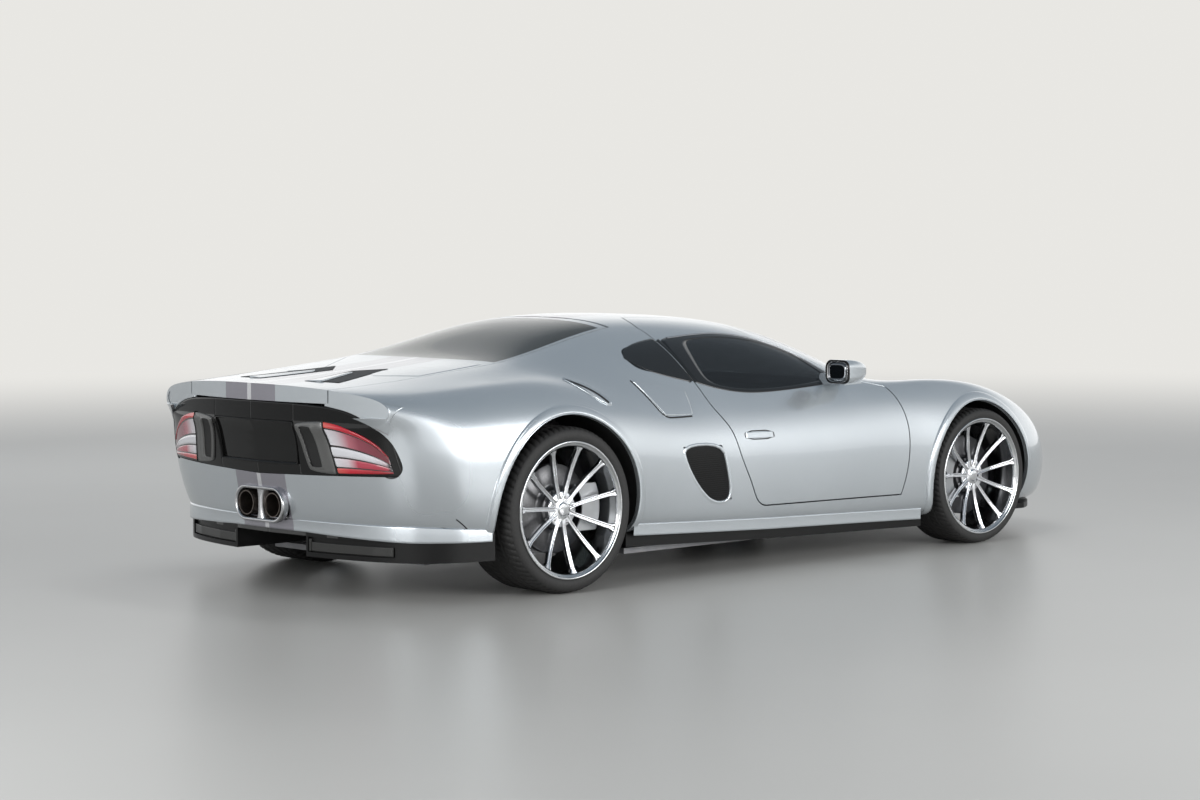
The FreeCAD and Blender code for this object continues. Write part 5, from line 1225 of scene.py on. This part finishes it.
def hub_part(spec, side):
    """The hub's profile, with a shallow cap in its middle."""
    deep = hub_depth
    steps = [(0.0005, deep - 0.006), (0.022, deep - 0.006), (0.026, deep - 0.0045), (0.0275, deep - 0.001),
             (0.031, deep + 0.001), (0.040, deep + 0.002), (0.046, deep + 0.004), (0.070, deep + 0.004),
             (0.076, deep + 0.006), (0.078, deep + 0.012), (0.078, deep + 0.060), (0.0005, deep + 0.062)]
    return lathe(steps, spec, side, 132)


def ring_of(count, radius, spec):
    """Places on a circle round the axle."""
    turn = spoke_phase + np.arange(count) * 2 * np.pi / count
    return spec["x"] + radius * np.sin(turn), spec["tyre"] + radius * np.cos(turn)


def lug_parts(spec, side):
    """Five sunk cups, each with a six-sided nut that has a domed end."""
    cups = [(0.0165, 0.0), (0.0162, 0.0015), (0.0145, 0.0020), (0.0140, 0.016), (0.0120, 0.018)]
    nuts = [(0.0098, 0.018), (0.0098, 0.003), (0.0085, -0.001), (0.0045, -0.003), (0.0002, -0.0035)]
    made = {"cups": [], "nuts": []}
    mouth = spec["face"] - hub_depth - 0.0035
    for x, z in zip(*ring_of(lug_count, lug_circle, spec)):
        for kind, steps, sides in (("cups", cups, 28), ("nuts", nuts, 6)):
            profile = np.array([(radius, mouth - inward) for radius, inward in steps])
            made[kind].append(grid_part(turned(profile, (x, z), sides, side), close_u=True))
    return made


def disc_part(spec, side):
    """The brake disc with the hat that carries it."""
    deep = 0.118
    steps = [(0.060, deep - 0.030), (0.088, deep - 0.030), (0.092, deep - 0.026), (0.092, deep - 0.001),
             (0.110, deep), (disc_radius - 0.002, deep), (disc_radius, deep + 0.002),
             (disc_radius, deep + 0.030), (disc_radius - 0.002, deep + 0.032), (0.060, deep + 0.032)]
    return lathe(steps, spec, side, 160)


for end, spec in wheels.items():
    for hand, side in (("right", -1), ("left", 1)):
        name, body = f"{end}_{hand}", f"{end}_wheel_{hand}"
        make(f"wheel_{name}_spokes", spoke_parts(spec, side) + [hub_part(spec, side)], polished, body,
             outwards=True, stands_for=[f"wheel_{name}"])
        make(f"wheel_{name}_rim", [rim_part(spec, side)], rim_metal, body, outwards=True)
        lugs = lug_parts(spec, side)
        make(f"wheel_{name}_cups", lugs["cups"], gloss_black, body)
        make(f"wheel_{name}_nuts", lugs["nuts"], brushed, body, smooth=False, outwards=True)
        make(f"wheel_{name}_disc", [disc_part(spec, side)], disc_iron, body, outwards=True)
print("wheels done")

# %% [markdown]
# ## Lips of the wheel arches
# Each arch ends in a raised flange that catches the light. It follows a circle round the wheel in
# side view. Its profile rises from the paint over 40 mm and then rolls in towards the tyre.

# %% Arch lips
def arch_line(spec, radius, low, high, count):
    """Part of a circle round the axle, between two angles in degrees."""
    angle = np.radians(np.linspace(low, high, count))
    return np.stack([spec["x"] + radius * np.cos(angle), spec["tyre"] + radius * np.sin(angle)], 1)


def arch_part(spec, low, high, count=150):
    """Circles of shrinking radius, each lifted off the skin by its own height."""
    steps = [(0.040, 0.000), (0.037, 0.0035), (0.031, 0.0070), (0.020, 0.0086), (0.008, 0.0092),
             (0.002, 0.0084), (0.0005, 0.0060), (0.0005, 0.0010), (0.0005, -0.012)]
    flat = np.stack([arch_line(spec, spec["arch"] + wider, low, high, count) for wider, _ in steps], 1)
    points, normals = (p.reshape(count, len(steps), 3) for p in on_skin(flat.reshape(-1, 2), "side"))
    points = points + normals * np.array([lift for _, lift in steps])[None, :, None]
    return faced(points, normals)


arches = [arch_part(wheels["rear"], -13.0, 194.5), arch_part(wheels["front"], 8.0, 207.0)]
make("arch_lips", both(arches), paint_plain, "bodyshell")

# %% [markdown]
# ## Windows
# The side windows read as one black shape. A black border runs round the door's glass and the
# quarter glass, and strips cover the pillar between them. A thin bright line follows the top edge.

# %% Window surrounds
door_outline = ahead([(0.846, 1.022), (0.905, 0.846), (0.925, 0.840), (1.025, 0.812), (1.170, 0.789),
                      (1.330, 0.785), (1.560, 0.794), (1.760, 0.806), (1.852, 0.816), (1.812, 0.853),
                      (1.735, 0.925), (1.625, 0.984), (1.450, 1.031), (1.250, 1.053), (1.060, 1.048),
                      (0.925, 1.040)])
door_glass_line = ahead([(0.985, 0.985), (0.972, 0.900), (0.990, 0.846), (1.060, 0.822), (1.180, 0.805),
                         (1.340, 0.800), (1.560, 0.808), (1.720, 0.820), (1.770, 0.836), (1.760, 0.858),
                         (1.700, 0.920), (1.610, 0.965), (1.450, 1.010), (1.250, 1.032), (1.080, 1.028),
                         (1.010, 1.020)])
border_steps = [(0.0, -0.002), (0.0, 0.0012), (0.2, 0.0016), (0.8, 0.0016), (1.0, 0.0012), (1.0, -0.002)]
surround = skin_ring(door_outline, door_glass_line, "side", 240, border_steps, 2)
on_doors("door_surround", surround, window_trim)
top_line = ahead([(0.925, 1.037), (1.060, 1.045), (1.250, 1.050), (1.450, 1.028), (1.625, 0.981),
                  (1.735, 0.922), (1.805, 0.857)])
on_doors("window_line", skin_strip(top_line, "side", 0.005, 160, 0.0034, 0.0005), brushed)
quarter_low = ahead([(0.583, 0.958), (0.610, 0.935), (0.680, 0.898), (0.790, 0.868), (0.880, 0.848)])
quarter_high = ahead([(0.583, 0.962), (0.600, 0.985), (0.655, 1.008), (0.740, 1.026), (0.829, 1.036)])
quarter = skin_sheet(quarter_low, quarter_high, "side", 60, 30, 0.0013, -0.001)
make("quarter_surround", both([quarter]), window_trim, "bodyshell")
strip_shape = dict(width=0.026, count=60, lift=0.0014, sink=-0.002, smooth=0)
pillar = skin_strip(ahead([(0.824, 1.030), (0.882, 0.849)]), "side", **strip_shape)
make("pillar_strip", both([pillar]), window_trim, "bodyshell")
door_strip = skin_strip(ahead([(0.857, 1.030), (0.914, 0.847)]), "side", **strip_shape)
on_doors("door_strip", door_strip, window_trim)
print("windows done")

# %% [markdown]
# ## Flanks
# Ahead of the rear wheel the flank carries a three-cornered flap over an air intake and a dark
# grille with fine slats, and further ahead the door's flush handle. On the haunch above the wheel
# lies a drop-shaped slot. All of them are low relief on the skin. The dark gap under the flap, the
# dark inside of the slot and the gap round the handle are painted shade: dark strips on the skin.

# %% Flap, slot, grille and handle
flap_rear = ahead([(0.533, 0.864), (0.570, 0.790), (0.617, 0.716)])
flap_front = ahead([(0.812, 0.812), (0.806, 0.760), (0.796, 0.712)])
flap = skin_sheet(flap_rear, flap_front, "side", 40, 50, 0.0008, -0.001,
                  lambda u, v: 0.005 * (1 - v) ** 1.3, 2)
make("intake_flaps", both([flap]), paint_plain, "bodyshell")
# The dark strip along the flap's rear and lower edges is painted shade of the gap under the flap.
gap_path = ahead([(0.522, 0.869), (0.560, 0.792), (0.608, 0.708), (0.700, 0.705), (0.790, 0.706)])
flap_gap_shade = skin_strip(gap_path, "side", 0.007, 120, 0.0008, -0.002, 2)
make("intake_gap_shade", both([flap_gap_shade]), mesh_black, "bodyshell")

slot_low = ahead([(0.142, 0.889), (0.172, 0.846), (0.215, 0.805), (0.262, 0.780), (0.288, 0.778)])
slot_high = ahead([(0.146, 0.892), (0.190, 0.878), (0.240, 0.862), (0.275, 0.822), (0.290, 0.784)])
slot_rim = skin_sheet(slot_low, slot_high, "side", 60, 24, 0.0012, -0.001,
                      lambda u, v: 0.004 * (1 - np.sin(np.pi * v)))
make("haunch_slots", both([slot_rim]), paint_plain, "bodyshell")
# The dark strip in the slot is painted shade, standing for the slot's shaded inside.
slot_path = ahead([(0.152, 0.884), (0.205, 0.860), (0.250, 0.825), (0.278, 0.788)])
slot_shade = skin_strip(slot_path, "side", 0.012, 80, 0.0040, 0.0005)
make("haunch_slot_shade", both([slot_shade]), mesh_black, "bodyshell")

frame_outer = ahead([(0.676, 0.592), (0.950, 0.586), (0.985, 0.470), (1.016, 0.318), (0.882, 0.306),
                     (0.780, 0.385), (0.700, 0.500)])
frame_inner = ahead([(0.694, 0.577), (0.938, 0.572), (0.968, 0.470), (0.998, 0.330), (0.892, 0.323),
                     (0.796, 0.394), (0.716, 0.500)])
frame_steps = [(0.0, 0.0), (0.25, 0.0022), (0.6, 0.0026), (0.9, 0.001), (1.0, -0.004), (1.0, -0.012)]
make("grille_frames", both([skin_ring(frame_outer, frame_inner, "side", 200, frame_steps, 2)]), paint_plain,
     "bodyshell")


def slat_parts(count=26):
    """Fine level slats between the grille's slanted ends."""
    z = np.linspace(0.335, 0.565, count)
    rear = np.interp(z, [0.326, 0.394, 0.500, 0.577], [0.885, 0.800, 0.722, 0.698])
    front = np.interp(z, [0.326, 0.470, 0.572], [0.996, 0.966, 0.938])
    return [skin_strip(ahead([(r, h), (f, h)]), "side", 0.0048, 12, -0.003, -0.009, 0)
            for r, f, h in zip(rear, front, z)]


make("grille_slats", both(slat_parts()), satin_black, "bodyshell")
handle_outer = ahead([(1.092, 0.628), (1.284, 0.624), (1.286, 0.580), (1.094, 0.584)])
handle_inner = ahead([(1.098, 0.622), (1.278, 0.618), (1.280, 0.586), (1.100, 0.590)])
handle_steps = [(0.0, -0.001), (0.25, 0.0006), (1.0, 0.0006), (1.0, -0.001)]
# The dark ring round the plate is painted shade of the gap round the handle.
handle_gap_shade = skin_ring(handle_outer, handle_inner, "side", 120, handle_steps, 1)
handle_plate = skin_sheet(ahead([(1.101, 0.592), (1.277, 0.588)]), ahead([(1.101, 0.620), (1.277, 0.616)]),
                          "side", 40, 10, 0.0016, 0.0, smooth=0)
on_doors("handle_gap_shade", handle_gap_shade, mesh_black)
on_doors("handle", handle_plate, paint_plain)
print("flanks done")

# %% [markdown]
# ## Lower edge
# The paint runs down to a crisp edge, while the skin already turns under. So a ribbon starts on the
# skin a little above the turn and drops from there. Its slope starts as the skin's own and turns
# upright, so that light runs over the joint. Its foot is folded inwards.

# %% Ribbons of paint, valance and blades
def ribbon(points, normals, low, lean_limit, lift=0.0004, fold=0.020):
    """Drops a line of points on the skin down to a height, and folds its foot inwards. On the way
    down a point moves in by its lean times s (2 - s), where s is the share of the way."""
    level = normals * (1.0, 1.0, 0.0)
    steep = np.linalg.norm(level, axis=1)
    level /= steep[:, None]
    drop = points[:, 2] - low
    lean = np.clip(-normals[:, 2] / steep * drop * 0.5, 0.0, lean_limit)[:, None]
    shares = np.array([0.0, 0.0, 0.12, 0.25, 0.4, 0.55, 0.7, 0.85, 0.97, 1.0, 1.0])
    outs = np.array([-0.004] + [lift] * 8 + [lift - 0.002, lift - fold])
    rows = []
    for share, out in zip(shares, outs):
        row = points + level * (out - lean * share * (2.0 - share))
        row[:, 2] -= drop * share
        rows.append(row)
    return faced(np.stack(rows, 1), np.repeat(level[:, None], len(shares), 1))


tail_count, side_count, start_z, corner_z, corner_lean = 90, 60, 0.322, 0.252, -0.003
tail_y = np.linspace(0.0, -0.760, tail_count)
behind, behind_n = on_skin(np.stack([tail_y, np.full(tail_count, start_z)], 1), "rear")
side_x = np.linspace(behind[-1, 0] + 0.012, -1.752, side_count)
beside, beside_n = on_skin(np.stack([side_x, np.linspace(start_z, 0.300, side_count)], 1), "side")
low_z = np.concatenate([np.interp(-tail_y, [0.0, 0.25, 0.45, 0.76], [0.272, 0.270, 0.262, corner_z]),
                        np.linspace(corner_z, 0.248, side_count)])
tail_lean = np.concatenate([np.interp(-tail_y, [0.45, 0.70], [0.006, corner_lean]),
                            np.full(side_count, corner_lean)])
edge, edge_n = np.concatenate([behind, beside]), np.concatenate([behind_n, beside_n])
tail_ribbon = ribbon(edge, edge_n, low_z, tail_lean)
make("tail_edge", both([tail_ribbon]), paint, "bodyshell")

sill_s = np.linspace(0.405, 2.300, 160)
sill_turn = np.interp(sill_s, [0.40, 0.52, 0.90, 1.28, 1.68, 2.30],
                      [0.228, 0.222, 0.205, 0.190, 0.179, 0.161])
sill, sill_n = on_skin(np.stack([rear_axle_x + sill_s, sill_turn + 0.036], 1), "side")
make("sill_edges", both([ribbon(sill, sill_n, sill_turn - 0.018, 0.003)]), paint_plain, "bodyshell")

# %% [markdown]
# The valance below is satin black. A strip of carbon weave runs along its top, and a grey blade
# stands in each of its two long recesses.

# %% Carbon weave and blades
def weave():
    """A twill of two crossing sets of fibres, from two sines along the width and the height."""
    material = new_material("carbon_weave", Roughness=0.25, Coat_Weight=0.6, Coat_Roughness=0.05)
    axes = object_axes(material)
    one, other = (math_node(material, "SINE", math_node(material, "MULTIPLY", axes[axis], 1400.0))
                  for axis in ("Y", "Z"))
    cross = math_node(material, "MULTIPLY", one, other)
    upper = math_node(material, "GREATER_THAN", cross, 0.0)
    vary(material, upper, (0.006, 0.006, 0.006), (0.050, 0.050, 0.050))
    return material


valance_shares = [(-0.316, 0.0), (-0.312, 0.202), (-0.3035, 0.404), (-0.287, 0.606), (-0.2745, 0.697),
                  (-0.2525, 0.793)]
valance_plan = np.array(valance_shares) * (wheelbase, -half_width) + (rear_axle_x, 0.0)


def valance_sheet(y_from, y_to, z_low, z_high, lift, sink, columns=60):
    """An upright sheet that follows the valance in plan, with edges that drop to a sink."""
    y = np.linspace(y_from, y_to, columns)
    x = np.interp(-y, -valance_plan[:, 1], valance_plan[:, 0])
    slope = np.gradient(x, y)
    out = np.stack([-np.ones_like(x), slope, 0 * x], 1) / np.sqrt(1 + slope ** 2)[:, None]
    z = np.linspace(z_low, z_high, 12)
    points = np.stack(np.broadcast_arrays(x[:, None], y[:, None], z[None]), -1)
    normals = np.broadcast_to(out[:, None], points.shape)
    return with_edges(points, normals, np.full(points.shape[:2], lift), sink)


strip = valance_sheet(0.001, -0.700, 0.254, 0.276, 0.0012, -0.004)
make("carbon_strip", both([strip]), weave(), "bodyshell")
blade = valance_sheet(-0.262, -0.690, 0.192, 0.230, -0.004, -0.014)
blade_edge = valance_sheet(-0.256, -0.262, 0.190, 0.244, 0.0, -0.014, 4)
blade_grey = trim("blade_grey", (0.035, 0.035, 0.034), (0.055, 0.055, 0.053), 0.34, 300.0, 0.00003, 0.4)
make("valance_blades", both([blade, blade_edge]), blade_grey, "bodyshell")

# %% [markdown]
# ## Deck, mirrors and small lines
# Two slanted vents lie on the engine lid, and a sheet of paint covers the CAD's own ones further
# ahead. Each vent has a dark floor and a painted slat at its inner rear. A mirror has a black ring
# and a bright rim round a dark glass that looks back.

# %% Vents, mirrors and the line behind the rear wheel
lid = body_of["engine_lid"]
cover = skin_sheet(ahead([(-0.520, -0.297), (-0.440, -0.162)]), ahead([(-0.414, -0.464), (-0.062, -0.464)]),
                   "plan", 40, 40, 0.0008, -0.003, smooth=0)
make("vent_covers", both([cover]), paint_plain, lid)
vent = skin_sheet(ahead([(-0.776, -0.157), (-0.452, -0.067)]), ahead([(-0.741, -0.342), (-0.346, -0.181)]),
                  "plan", 50, 30, 0.0016, -0.001, smooth=0)
make("vent_floors", both([vent]), mesh_black, lid)
slat = skin_sheet(ahead([(-0.772, -0.162), (-0.535, -0.102)]), ahead([(-0.760, -0.250), (-0.500, -0.130)]),
                  "plan", 40, 16, 0.0024, 0.0010, lambda u, v: 0.004 * v, 0)
make("vent_slats", both([slat]), paint_plain, lid)
crescent_path = ahead([(-0.575, 0.350), (-0.538, 0.322), (-0.500, 0.288), (-0.470, 0.252)])
crescent = skin_strip(crescent_path, "side", 0.004, 60, 0.0014, -0.001)
make("rear_lines", both([crescent]), mesh_black, "bodyshell")


mirror_x, mirror_y, mirror_z, mirror_half_width, mirror_half_height = 0.3235, -0.955, 0.868, 0.074, 0.055


def mirror_rings(steps, count=96):
    """Rounded rectangles of shrinking size, stepped backwards along X. The corners come from a cosine
    and a sine that are raised to a power below one."""
    angle = np.linspace(0.0, 2 * np.pi, count, endpoint=False)
    wide, tall = (np.sign(wave) * np.abs(wave) ** 0.55 for wave in (np.cos(angle), np.sin(angle)))
    rings = [np.stack([np.full(count, mirror_x + step), mirror_y + mirror_half_width * size * wide,
                       mirror_z + mirror_half_height * size * tall], 1) for size, step in steps]
    return grid_part(np.stack(rings, 1), close_u=True)


mirror_ring = mirror_rings([(1.0, 0.004), (1.0, -0.002), (0.97, -0.005), (0.88, -0.005), (0.86, -0.003),
                            (0.86, 0.004)])
mirror_bright = mirror_rings([(0.86, 0.002), (0.86, -0.0035), (0.82, -0.0035), (0.81, 0.002)])
mirror_face = mirror_rings([(0.82, 0.002), (0.82, -0.0015), (0.5, -0.0018), (0.01, -0.0020)])
mirror_dark = trim("mirror_glass", (0.16, 0.17, 0.18), (0.20, 0.21, 0.22), 0.04, 3.0, 0.0, 1.0)
for label, part, finish in (("ring", mirror_ring, gloss_black), ("bright", mirror_bright, brushed),
                            ("glass", mirror_face, mirror_dark)):
    on_doors(f"mirror_{label}", part, finish, outwards=True)
print("lower edge, vents and mirrors done")
